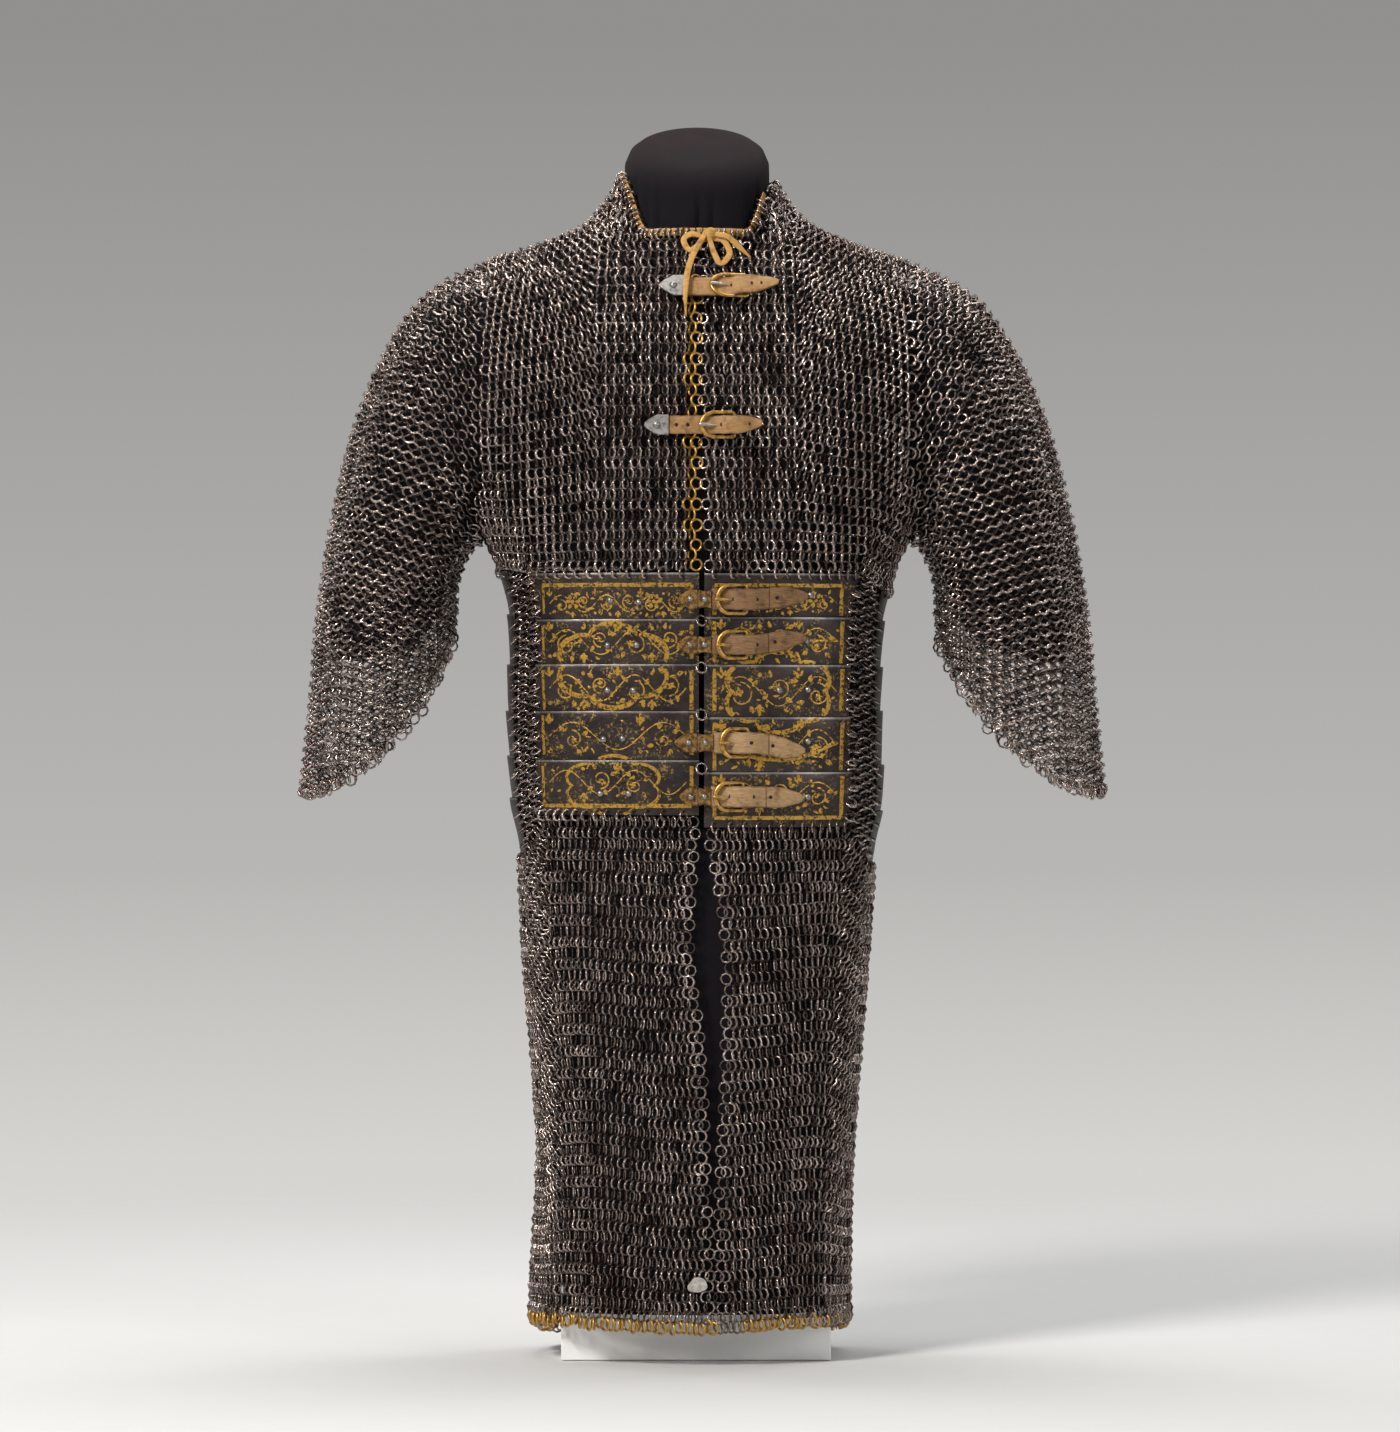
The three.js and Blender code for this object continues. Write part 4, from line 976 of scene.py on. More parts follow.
@dataclass
class MailPiece:
    """A piece of mail: rows of rings that lean one way in one row and the other way in the next."""

    part: str
    surface: Surface
    pitch: Pitch
    lean: float
    held: str
    core: tuple[float, float] = (0.0, 0.0)
    reference: float = 0.4
    loop: bool = False
    calm_edge: float = 0.0
    with_pieces: list[str] = field(default_factory=list)
    shade: float = 1.0
    seed: int = 1
    ring: Pattern = RING
    row_steps: int = 320
    rise_steps: int = 1600
    reach: float = 0.004

    @property
    def node(self) -> str:
        """The CAD node that the rings stand for."""
        return f"mail_{self.part}"

    def rows(self) -> tuple[Array, float]:
        """The places of the rows across the piece, and the length that they cover."""
        share = np.linspace(0, 1, self.rise_steps)
        line = self.surface(np.full(self.rise_steps, self.reference), share)
        run = run_of(line)
        count = round(run[-1] / self.pitch[1] / 2) * 2
        marks = (np.arange(count) + (0.0 if self.loop else 0.5)) / count * run[-1]
        return np.interp(marks, run, share), float(run[-1])

    def lay(self) -> tuple[Seats, Array, Array]:
        """Lays the rings.

        Returns:
            Their seats, how far each is from its row's start, and each row's length.
        """
        places, _ = self.rows()
        pitch = self.pitch[0]
        share = np.linspace(0, 1, self.row_steps)
        along, across, parity, away, lengths = [], [], [], [], []
        for row, place in enumerate(places):
            line = self.surface(share, np.full(self.row_steps, place))
            run = run_of(line)
            marks = np.arange(pitch * (0.35 + 0.5 * (row % 2)), run[-1] - pitch * 0.2, pitch)
            along.append(np.interp(marks, run, share))
            across.append(np.full(len(marks), place))
            parity.append(np.full(len(marks), 1 if row % 2 else -1))
            away.append(marks)
            lengths.append(run[-1])
        u, v, lean_way, start = (np.concatenate(part) for part in (along, across, parity, away))
        return self.seats(u, v, lean_way, start), start, np.array(lengths)

    def seats(self, u: Array, v: Array, lean_way: Array, start: Array) -> Seats:
        """Turns places on the surface into seats, with small differences from ring to ring."""
        chance = np.random.default_rng(self.seed)
        count = len(u)
        step = self.reach
        centre = self.surface(u, v)
        run = unit(self.surface(np.minimum(u + step, 1), v) - self.surface(np.maximum(u - step, 0), v))
        rise = self.surface(u, np.minimum(v + step, 1)) - self.surface(u, np.maximum(v - step, 0))
        out = unit(np.cross(run, rise))
        inward = np.sum(out[:, :2] * (centre[:, :2] - np.array(self.core)))
        out *= 1 if inward > 0 else -1
        lean = np.radians(self.lean + chance.normal(0, 4.0, count))
        if self.calm_edge:
            lean *= 0.3 + 0.7 * smooth(self.calm_edge * 0.35, self.calm_edge, start)
        axis = out * np.cos(lean)[:, None] + run * (lean_way * np.sin(lean))[:, None]
        axis += chance.normal(0, 0.06, (count, 3))
        up = np.cross(out, run) + chance.normal(0, 0.05, (count, 3))
        centre = centre + out * chance.normal(0, 0.25, count)[:, None] + chance.normal(0, 0.16, (count, 3))
        tone = np.clip(chance.normal(0.45, 0.24, count), 0, 1) * self.shade
        return Seats.facing(centre, axis, up, tone, chance.normal(1.0, 0.018, count))

    def build(self, keep: Callable[[Seats, Array], Array] | None = None,
              extra: Seats | None = None) -> tuple[Piece, Seats]:
        """Args:
            keep: Tells which rings are of steel; the others are left to another piece.
            extra: More rings, such as those that dangle from an edge.

        Returns:
            The piece, and the seats that were left out.
        """
        seats, start, lengths = self.lay()
        kept = np.ones(len(start), bool) if keep is None else keep(seats, start)
        steel = seats.only(kept) if extra is None else Seats.all_of([seats.only(kept), extra])
        piece = self.ring.copies(f"{self.node}_rings", steel)
        Bench.seat(piece, STEEL_WIRE, "mail", self.node)
        _, height = self.rows()
        return piece, seats.only(~kept)


@dataclass(frozen=True)
class MailShirt:
    """All the mail: chest, back, sleeves, flanks, waist and skirt, with its brass rings."""

    sleeve_pitch: Pitch = (8.3, 6.0)
    chest_pitch: Pitch = (6.6, 7.3)
    flank_pitch: Pitch = (6.6, 7.0)
    back_pitch: Pitch = (6.9, 7.6)
    waist_pitch: Pitch = (6.8, 7.5)
    skirt_pitch: Pitch = (4.9, 8.0)
    skirt_back_pitch: Pitch = (5.4, 8.7)
    hem_gap: float = 4.3
    hem_gap_back: float = 5.2
    hem_brass_back: float = 0.3
    hem_lift: float = 8.0
    brass_top: float = 815.0
    cuff_count: int = 62
    armpit_count: int = 230

    def chest(self, side: Side) -> Surface:
        """The surface of one half of the chest, along it from the opening and up it."""
        edges = OPENING[side.value]

        def surface(u: Array, v: Array) -> Array:
            edge = edges(mix(SHAPE.chest_foot_z, SHAPE.neck_front_z, v)) - 2.0
            share = np.abs(edge) / SHAPE.armscye_x
            start = np.sign(edge) * np.arcsin(share ** (SHAPE.squareness / 2))
            angle = mix(start, side.sign * math.pi / 2, u)
            return SHAPE.row_point(angle, v, SHAPE.chest_foot(angle, side) + 2, False)

        return surface

    @staticmethod
    def back(u: Array, v: Array) -> Array:
        """The surface of the back."""
        angle = mix(math.pi / 2, 1.5 * math.pi, u)
        return SHAPE.row_point(angle, v, SHAPE.both_sides(SHAPE.chest_foot, angle), True)

    @staticmethod
    def sleeve(side: Side) -> Surface:
        """The surface of a sleeve, along it and round it."""
        return lambda u, v: SHAPE.sleeve_point(u, v * 2 * math.pi, side)

    @staticmethod
    def flank(side: Side) -> Surface:
        """The strip between front plates and side plates; its rows run upright."""
        inner, outer = SHAPE.plate_edge(side) - 0.02, SHAPE.side_front + 0.02

        def surface(u: Array, v: Array) -> Array:
            angle = side.sign * mix(inner, outer, v)
            low, high = SHAPE.skirt_top(angle, side), SHAPE.chest_foot(angle, side)
            return SHAPE.body_point(angle, mix(low, high, u))

        return surface

    @staticmethod
    def waist_back(u: Array, v: Array) -> Array:
        """The waist behind, between the side plates."""
        angle = mix(SHAPE.side_back - 0.02, 2 * math.pi - SHAPE.side_back + 0.02, u)
        low = SHAPE.both_sides(SHAPE.skirt_top, angle)
        return SHAPE.body_point(angle, mix(low, SHAPE.both_sides(SHAPE.chest_foot, angle), v))

    def skirt(self, side: Side) -> Surface:
        """One half of the skirt's front; its rows rise a little to the middle of the panel."""
        edges = SLIT[side.value]

        def surface(u: Array, v: Array) -> Array:
            top = FRONT_TOPS[side][-1]
            level = mix(SHAPE.hem_z(np.zeros_like(v)), top, v)
            start = SHAPE.angle_at(edges(level), level)
            angle = mix(start, side.sign * math.pi / 2, u)
            z = mix(SHAPE.hem_z(angle) + self.hem_lift, SHAPE.skirt_top(angle, side) - 1, v)
            bow = 5 * np.exp(-(((u - 0.42) / 0.24) ** 2)) * np.sin(v * math.pi)
            return SHAPE.body_point(angle, z + bow)

        return surface

    def skirt_back(self, u: Array, v: Array) -> Array:
        """The skirt's back."""
        angle = mix(math.pi / 2, 1.5 * math.pi, u)
        low = SHAPE.hem_z(angle) + self.hem_lift
        return SHAPE.body_point(angle, mix(low, SHAPE.both_sides(SHAPE.skirt_top, angle) - 1, v))

    def cuff_rings(self, side: Side, seed: int) -> Seats:
        """The rings that dangle singly from a cuff."""
        chance = np.random.default_rng(seed)
        count = self.cuff_count
        turn = np.linspace(0, 1, count, endpoint=False) * 2 * math.pi
        end = SHAPE.sleeve_point(np.full(count, 0.985), turn, side)
        drop = chance.uniform(2.0, 6.5, count)
        centre = end + np.stack([chance.normal(0, 1.2, count), chance.normal(0, 1.2, count), -drop], axis=-1)
        way = chance.uniform(0, math.pi, count)
        axis = np.stack([np.cos(way), np.sin(way), chance.normal(0, 0.15, count)], axis=-1)
        return Seats.facing(centre, axis, UP, np.clip(chance.normal(0.6, 0.2, count), 0, 1))

    def armpit_rings(self, side: Side, seed: int) -> Seats:
        """The rings that bunch up inside, where sleeve, chest and back meet under the arm; their dark tone is
        a painted shade there.
        """
        chance = np.random.default_rng(seed)
        count = self.armpit_count
        z = chance.uniform(600, 668, count)
        x = SHAPE.half_width(np.full(count, side.sign), z) - chance.uniform(6, 30, count)
        y = chance.uniform(-52, 52, count)
        centre = np.stack([side.sign * x, y, z], axis=-1)
        # Their tone is kept dark: painted shade under the arm.
        tone = np.clip(chance.normal(0.15, 0.15, count), 0, 1)
        return Seats.facing(centre, chance.normal(0, 1, (count, 3)), np.array([0.1, 0.2, 1.0]), tone)

    @staticmethod
    def hem_rings(start: float, end: float, gap: float, seed: int) -> Seats:
        """The rings that hang in a dense row from the hem, from one angle to another."""
        chance = np.random.default_rng(seed)
        share = np.linspace(start, end, 500)
        line = SHAPE.body_point(share, SHAPE.hem_z(share))
        run = run_of(line)
        angle = np.interp(np.arange(2, run[-1] - 1, gap), run, share)
        count = len(angle)
        centre = SHAPE.body_point(angle, SHAPE.hem_z(angle) + 4.6)
        level = SHAPE.hem_z(angle)
        ahead = unit(SHAPE.body_point(angle + 0.01, level) - SHAPE.body_point(angle - 0.01, level))
        out = np.stack([-ahead[:, 1], ahead[:, 0], 0 * angle], axis=-1)
        sway = np.interp(np.arange(count) % 9, (0, 4, 8), (35, 62, 40))
        lean = np.radians(sway + chance.normal(0, 12, count))
        axis = out * np.cos(lean)[:, None] + ahead * np.sin(lean)[:, None]
        centre[:, 2] += chance.normal(0, 0.9, count)
        up = UP + chance.normal(0, 0.12, (count, 3))
        tone = chance.uniform(0.3, 0.9, count)
        return Seats.facing(centre, axis, up, tone, chance.normal(1.02, 0.03, count))

    def collar_rings(self) -> Seats:
        """The rings of the collar's front edge, which hold the lace."""
        chance = np.random.default_rng(31)
        share = np.linspace(0, 1, 400)
        line, _ = NeckLace.line(share)
        run = run_of(line)
        places = np.interp(np.arange(2.0, run[-1] - 2, 4.6), run, share)
        middle, tangent = NeckLace.line(places)
        count = len(places)
        out = unit(middle * [1, 1, 0])
        axis = unit(tangent) + out * 0.45 + chance.normal(0, 0.14, (count, 3))
        centre = middle - [0, 0, 1.8] + chance.normal(0, 0.35, (count, 3))
        return Seats.facing(centre, axis, UP, np.clip(chance.normal(0.55, 0.2, count), 0, 1))

    def build(self) -> None:
        """Makes every piece of mail."""
        for number, side in enumerate(Side):
            self.build_chest(side, number)
            loose = Seats.all_of([self.cuff_rings(side, 41 + number), self.armpit_rings(side, 45 + number)])
            MailPiece(f"sleeve_{side.value}", self.sleeve(side), self.sleeve_pitch, 42.0, "hung",
                      core=(side.sign * 225.0, 0.0), reference=0.35, loop=True, seed=21 + number).build(
                          extra=loose)
            MailPiece(f"flank_{side.value}", self.flank(side), self.flank_pitch, 50.0, "hung",
                      seed=61 + number, shade=0.9).build()
            self.build_skirt(side, number)
        MailPiece("back", self.back, self.back_pitch, 53.0, "draped", reference=0.3, seed=81,
                  ring=CHEST_RING).build(keep=lambda seats, away: SHAPE.under_collar(seats.centre, True))
        MailPiece("waist_back", self.waist_back, self.waist_pitch, 53.0, "hung", reference=0.5,
                  seed=82).build()
        hem = self.hem_rings(math.pi / 2, 1.5 * math.pi, self.hem_gap_back, 83)
        brass = np.random.default_rng(84).random(len(hem.centre)) < self.hem_brass_back
        self.brass("brass_hem_back_rings", hem.only(brass))
        MailPiece("skirt_back", self.skirt_back, self.skirt_back_pitch, 60.0, "hung", reference=0.5,
                  seed=85, with_pieces=["brass_hem_back_rings"]).build(extra=hem.only(~brass))

    @staticmethod
    def brass(name: str, seats: Seats) -> Piece:
        """Makes a group of brass rings."""
        return Bench.seat(FINE_RING.copies(name, seats), BRASS_WIRE, "buckle_brass")

    def build_chest(self, side: Side, number: int) -> None:
        """Makes one half of the chest; on the left its front edge is of brass rings."""
        half = MailPiece(f"chest_{side.value}", self.chest(side), self.chest_pitch, 53.0, "draped",
                         calm_edge=5.0, seed=11 + number, ring=CHEST_RING)
        if side is Side.RIGHT:
            half.build(keep=lambda seats, away: SHAPE.under_collar(seats.centre, False),
                       extra=self.collar_rings())
            return
        seats, start, _ = half.lay()
        height = seats.centre[:, 2]
        wide = 9.2 + 3.0 * np.sin(height / 9.0)
        edge = (start < wide) & (height < self.brass_top)
        self.brass("brass_front_edge_rings", seats.only(edge))
        half.with_pieces.append("brass_front_edge_rings")
        half.build(keep=lambda seats, away: ~edge & SHAPE.under_collar(seats.centre, False))

    def build_skirt(self, side: Side, number: int) -> None:
        """Makes one half of the skirt's front with its row of hem rings, most of them of brass."""
        inner = float(SHAPE.angle_at(SLIT[side.value](24.0), 24.0))
        hem = self.hem_rings(inner, side.sign * math.pi / 2, self.hem_gap, 51 + number)
        x = hem.centre[:, 0]
        chance = np.random.default_rng(55 + number).random(len(x))
        brass = np.ones(len(x), bool) if side is Side.LEFT else (x > 33) & ((x < 80) | (chance < 0.35))
        name = f"brass_hem_{side.value}_rings"
        self.brass(name, hem.only(brass))
        MailPiece(f"skirt_{side.value}", self.skirt(side), self.skirt_pitch, 60.0, "hung", calm_edge=12.0,
                  seed=71 + number, ring=SKIRT_RING, with_pieces=[name]).build(
                      extra=hem.only(~brass) if (~brass).any() else None)


@dataclass
class Ribbon:
    """A drawn stroke of gilding: a line in x and z with a half-width at each of its points."""

    line: Array
    half: Array


class Ornament:
    """The maker's brush: generic scrolls, leaves, buds and lobed bands, none after a known work."""

    def __init__(self, seed: int) -> None:
        """Starts with an empty plate."""
        self.chance = np.random.default_rng(seed)
        self.ribbons: list[Ribbon] = []

    def stroke(self, line: Array, half: Array) -> None:
        """Adds a stroke."""
        self.ribbons.append(Ribbon(np.asarray(line, float), np.broadcast_to(half, len(line)).astype(float)))

    def curl(self, x: float, z: float, radius: float, start: float, hand: int, turns: float = 1.15) -> None:
        """A spiral that winds in to its middle."""
        share = np.linspace(0, 1, 18)
        reach = radius * (1 - 0.78 * share)
        angle = start + hand * turns * 2 * math.pi * share
        line = np.stack([x + reach * np.cos(angle), z + reach * np.sin(angle)], axis=-1)
        self.stroke(line, 0.62 - 0.22 * share)

    def leaf(self, x: float, z: float, angle: float, length: float, width: float, bend: float = 0.5) -> None:
        """A pointed leaf that bends to one side."""
        share = np.linspace(0, 1, 7)
        way = angle + bend * share
        step = length / 6
        line = np.stack([x + np.cumsum(np.cos(way)) * step, z + np.cumsum(np.sin(way)) * step], axis=-1)
        self.stroke(line, 0.12 + width / 2 * np.sin(math.pi * share ** 0.8))

    def spray(self, x: float, z: float, angle: float, size: float) -> None:
        """Three leaves from one point, with a bud."""
        for turn, length in ((-0.85, 0.8), (0.0, 1.15), (0.85, 0.8)):
            self.leaf(x, z, angle + turn, size * length, size * 0.42, -0.5 * turn)
        self.bud(x, z, size * 0.22)

    def bud(self, x: float, z: float, radius: float) -> None:
        """A round bud."""
        share = np.linspace(-1, 1, 5)
        line = np.stack([x + share * radius, np.full(5, z)], axis=-1)
        self.stroke(line, radius * np.sqrt(np.maximum(0.03, 1 - share ** 2)))

    def rosette(self, x: float, z: float, radius: float, petals: int) -> None:
        """A flower of short petals."""
        for petal in range(petals):
            angle = petal / petals * 2 * math.pi
            self.leaf(x + 0.25 * radius * math.cos(angle), z + 0.25 * radius * math.sin(angle), angle,
                      radius * 0.75, radius * 0.5, 0.0)
        self.bud(x, z, radius * 0.25)

    def vine(self, start: float, end: float, low: float, high: float, weight: float) -> None:
        """A stem that waves from start to end between two heights, with curls and leaves in its bays.

        Args:
            start: Its first x.
            end: Its last x.
            low: The lowest z that it may reach.
            high: The highest z.
            weight: The share of its sprays that is drawn, from 0 to 1.
        """
        middle, reach = (low + high) / 2, (high - low) / 2
        bays = max(2, round(abs(end - start) / (reach * 1.75)))
        share = np.linspace(0, 1, bays * 9)
        x = mix(start, end, share)
        z = middle + 0.62 * reach * np.sin(share * bays * math.pi)
        self.stroke(np.stack([x, z], axis=-1), 0.42)
        for bay in range(bays):
            side = -1 if bay % 2 else 1
            at = mix(start, end, (bay + 0.5) / bays)
            if self.chance.random() > weight:
                continue
            size = reach * self.chance.uniform(0.42, 0.56)
            centre = middle - side * reach * 0.16
            self.curl(at, centre, size, side * math.pi / 2, -side if self.chance.random() < 0.7 else side)
            self.spray(at, centre, self.chance.uniform(0, 2 * math.pi), size * 0.5)
            for turn in (0.6, 2.2, 3.9, 5.3):
                angle = turn + self.chance.uniform(-0.3, 0.3)
                self.leaf(at + size * math.cos(angle), centre + size * math.sin(angle), angle,
                          reach * 0.34, reach * 0.2, self.chance.uniform(-0.9, 0.9))
            edge = mix(start, end, bay / bays)
            self.spray(edge, middle + side * reach * 0.62, side * math.pi / 2, reach * 0.36)
            self.bud(edge, middle - side * reach * 0.7, reach * 0.1)

    def border(self, start: float, end: float, low: float, high: float, half: float) -> None:
        """A frame of four plain lines."""
        for line in (((start, high), (end, high)), ((start, low), (end, low)),
                     ((start, low), (start, high)), ((end, low), (end, high))):
            share = np.linspace(0, 1, 40)[:, None]
            drawn = np.array(line[0]) * (1 - share) + np.array(line[1]) * share
            self.stroke(drawn, half * self.chance.uniform(0.85, 1.1, 40))

    def lobed_band(self, x: float, z: float, wide: float, high: float, half: float) -> None:
        """A cloud-shaped band with six lobes, and a cusp between each two of them."""
        angle = np.linspace(0, 2 * math.pi, 121)
        lobe = 0.83 + 0.19 * np.abs(np.sin(3 * angle)) ** 0.7
        line = np.stack([x + wide * lobe * np.cos(angle), z + high * lobe * np.sin(angle)], axis=-1)
        self.stroke(line, half * (0.8 + 0.35 * np.abs(np.sin(3 * angle))))


@dataclass
class Plate:
    """One steel plate of the waist, between two angles and two heights."""

    name: str
    start: float
    end: float
    foot: float
    top: float
    shown: float
    steel: float = 1.4
    shingle: float = 2.6

    def point(self, angle: Array, z: Array, lift: Array) -> Array:
        """A point of the plate's hand-hammered middle at an angle and a height, moved out by a lift."""
        z = z + 0 * angle
        ahead = SHAPE.body_point(angle + 0.01, z) - SHAPE.body_point(angle - 0.01, z)
        out = unit(np.stack([ahead[..., 1], -ahead[..., 0], 0 * z], axis=-1))
        share = (z - self.foot) / (self.top - self.foot)
        dent = 0.16 * np.sin(angle * 23 + z * 0.11) * np.sin(z * 0.19 + angle * 7)
        return SHAPE.body_point(angle, z) + out * (self.shingle * share + dent + lift)[..., None]

    def out(self, angle: Array, z: Array) -> Array:
        """The direction out of the plate."""
        return unit(self.point(angle, z, 1.0 + 0 * z) - self.point(angle, z, 0 * z))

    def build(self, columns: int, finish: object, slot: str, node: str) -> None:
        """Makes the plate."""
        low, high = sorted((self.start, self.end))

        def surface(u: Array, v: Array) -> Array:
            angle = mix(low, high, u)
            z = mix(self.foot, self.top, v)
            return self.point(angle, z, 0 * z)

        Bench.seat(Bench.panel(self.name, columns, 5, surface, self.steel, 0.3), finish, slot, node)


@dataclass
class WaistPlates:
    """The plates of the front and the sides, with their rivets, link holes, link rings and gilding."""

    lap: float = 6.0
    link_gap: float = 11.0
    link_inset: float = 3.6
    front: dict[Side, list[Plate]] = field(init=False)
    flanks: dict[Side, list[Plate]] = field(init=False)

    def __post_init__(self) -> None:
        """Lists the plates."""
        self.front = {side: self.column(side, "front", FRONT_TOPS[side]) for side in Side}
        self.flanks = {side: self.column(side, "side", SIDE_TOPS[side]) for side in Side}

    def column(self, side: Side, place: str, tops: tuple[float, ...]) -> list[Plate]:
        """The plates of one column, from the top down."""
        if place == "front":
            start = float(SHAPE.angle_at(FRONT_EDGES[side][0], SHAPE.waist_z))
            end = side.sign * SHAPE.plate_edge(side)
        else:
            start, end = side.sign * SHAPE.side_front, side.sign * SHAPE.side_back
        plates = []
        for row in range(len(tops) - 1):
            last = row == len(tops) - 2
            foot = tops[row + 1] - (0 if last else self.lap)
            plates.append(Plate(f"plate_{place}_{side.value}_{row + 1}_steel", start, end, foot, tops[row],
                                tops[row + 1]))
        return plates

    def build(self) -> None:
        """Makes the plates and all that is on them."""
        for side in Side:
            for row, plate in enumerate(self.front[side], 1):
                plate.build(44, FRONT_STEEL, "plate_front", f"plate_front_{side.value}_{row}")
            for row, plate in enumerate(self.flanks[side], 1):
                plate.build(22, SIDE_STEEL, "plate_side", f"plate_side_{side.value}_{row}")
            self.gild(side)
        self.build_rivets()
        self.build_links()

    def plate_at(self, side: Side, z: float) -> Plate | None:
        """The front plate that shows at a height."""
        return next((plate for plate in self.front[side] if plate.shown < z <= plate.top), None)

    def build_rivets(self) -> None:
        """The domed rivets of the front plates."""
        centres, axes = [], []
        for side, places in PLATE_RIVETS.items():
            for x, z in places:
                plate = self.plate_at(side, z)
                angle = SHAPE.angle_at(np.array([x]), np.array([z]))
                centres.append(plate.point(angle, np.array([z]), np.array([plate.steel / 2 + 0.2]))[0])
                axes.append(plate.out(angle, np.array([z]))[0])
        seats = Seats.facing(np.array(centres), np.array(axes), UP, RIVET_TONE)
        Bench.seat(Pattern.dome(2.6, 2.3).copies("plate_rivets", seats), RIVET_STEEL, "mount_steel")

    def link_places(self) -> list[tuple[Plate, float, float, bool]]:
        """Where rings join the plates to the mail: plate, angle, height, and if the edge is upright."""
        places: list[tuple[Plate, float, float, bool]] = []
        for side in Side:
            column = self.front[side]
            inner, outer = column[0].start, column[0].end
            for share in (np.arange(13) + 0.5) / 13:
                angle = float(mix(inner, outer, share))
                places.append((column[0], angle, column[0].top - self.link_inset, False))
                places.append((column[-1], angle, column[-1].foot + 3.4, False))
            for plate in column:
                for z in np.arange(plate.shown + 7, plate.top - 4, self.link_gap):
                    places.append((plate, outer - side.sign * 0.035, float(z), True))
            for plate in self.flanks[side]:
                for z in np.arange(plate.shown + 7, plate.top - 4, self.link_gap):
                    places.append((plate, plate.start + side.sign * 0.03, float(z), True))
                    places.append((plate, plate.end - side.sign * 0.03, float(z), True))
            for share in (np.arange(9) + 0.5) / 9:
                plate = self.flanks[side][0]
                angle = float(mix(plate.start, plate.end, share))
                places.append((plate, angle, plate.top - self.link_inset, False))
        return places

    def build_links(self) -> None:
        """The rings through the plates' edges, and the shade in the holes that they pass."""
        chance = np.random.default_rng(91)
        places = self.link_places()
        rings, holes, axes, outs, ups = [], [], [], [], []
        for plate, angle, z, upright in places:
            at, height = np.array([angle]), np.array([z])
            out = plate.out(at, height)[0]
            along = np.cross(UP, out)
            holes.append(plate.point(at, height, np.array([plate.steel / 2 + 0.05]))[0])
            outs.append(out)
            spot = plate.point(at, height, np.array([1.2]))[0]
            if upright:
                outer = abs(angle) > (abs(plate.start) + abs(plate.end)) / 2
                away = 1.0 if outer else -1.0
                beyond = plate.point(at + 0.01 * np.sign(angle) * away, height, np.array([1.2]))[0] - spot
                rings.append(spot + unit(beyond) * self.link_inset)
                axes.append(UP + out * 0.8)
                ups.append(out)
            else:
                lift = self.link_inset if z > (plate.foot + plate.top) / 2 else -self.link_inset
                rings.append(spot + UP * lift)
                axes.append(along + out * 0.8)
                ups.append(UP)
        for z in (556.0, 521.0, 486.0, 446.0):
            rings.append(SHAPE.on_front(3.4, z, 7.5))
            axes.append(np.array([0.5, -1.0, 0.3]))
            ups.append(UP)
        count = len(rings)
        axis = np.array(axes) + chance.normal(0, 0.12, (count, 3))
        tone = np.clip(chance.normal(0.6, 0.2, count), 0, 1)
        seats = Seats.facing(np.array(rings), axis, np.array(ups), tone)
        Bench.seat(RING.copies("plate_link_rings", seats), STEEL_WIRE, "mail")
        Bench.clear()
        bpy.ops.mesh.primitive_cylinder_add(vertices=10, radius=1.5, depth=0.12)
        shade = Pattern.take().copies("plate_link_holes", Seats.facing(
            np.array(holes), np.array(outs), UP, 0.0))
        Bench.seat(shade, HOLE_SHADE, "mail")

    def design(self, side: Side) -> Ornament:
        """Draws the gilding of one column of plates."""
        brush = Ornament(101 if side is Side.LEFT else 202)
        tops = FRONT_TOPS[side]
        if side is Side.LEFT:
            start, end, weights = -114.0, -4.0, (0.9, 1.0, 1.0, 0.75, 0.35)
            brush.border(start, end, tops[-1] + 7, tops[0] - 9, 1.5)
            brush.lobed_band(-62.0, 522.5, 42.0, 31.0, 1.7)
            brush.lobed_band(-62.0, 433.0, 36.0, 22.0, 1.1)
        else:
            start, end, weights = 13.0, 107.0, (1.0, 1.0, 1.0, 1.0, 0.8)
            brush.border(start, end, tops[-1] + 7, tops[0] - 9, 1.5)
            brush.lobed_band(60.0, 503.0, 40.0, 30.0, 1.6)
            share = np.linspace(0, 1, 30)[:, None]
            brush.stroke(np.array([[16.0, 541.0]]) * (1 - share) + np.array([[104.0, 541.0]]) * share, 0.8)
            swing = np.linspace(-1, 1, 30)
            brush.stroke(np.stack([60 + 40 * swing, 452 + 12 * swing ** 2], axis=-1), 1.5)
        for row, weight in enumerate(weights):
            high = tops[row] - (12.5 if row == 0 else 2.0)
            low = tops[row + 1] + (10.0 if row == 4 else 1.5)
            brush.vine(start + 5, end - 4, low, high, weight)
            for _ in range(int(26 * weight)):
                x = brush.chance.uniform(start + 4, end - 4)
                z = brush.chance.uniform(low + 2, high - 2)
                angle = brush.chance.uniform(0, 2 * math.pi)
                brush.leaf(x, z, angle, brush.chance.uniform(2.5, 5.5), brush.chance.uniform(1.0, 2.2),
                           brush.chance.uniform(-1.2, 1.2))
        for x in (-92.0, -32.0) if side is Side.LEFT else (36.0, 88.0):
            brush.rosette(x, (tops[0] + tops[1]) / 2 - 4, 5.5, 6)
        return brush

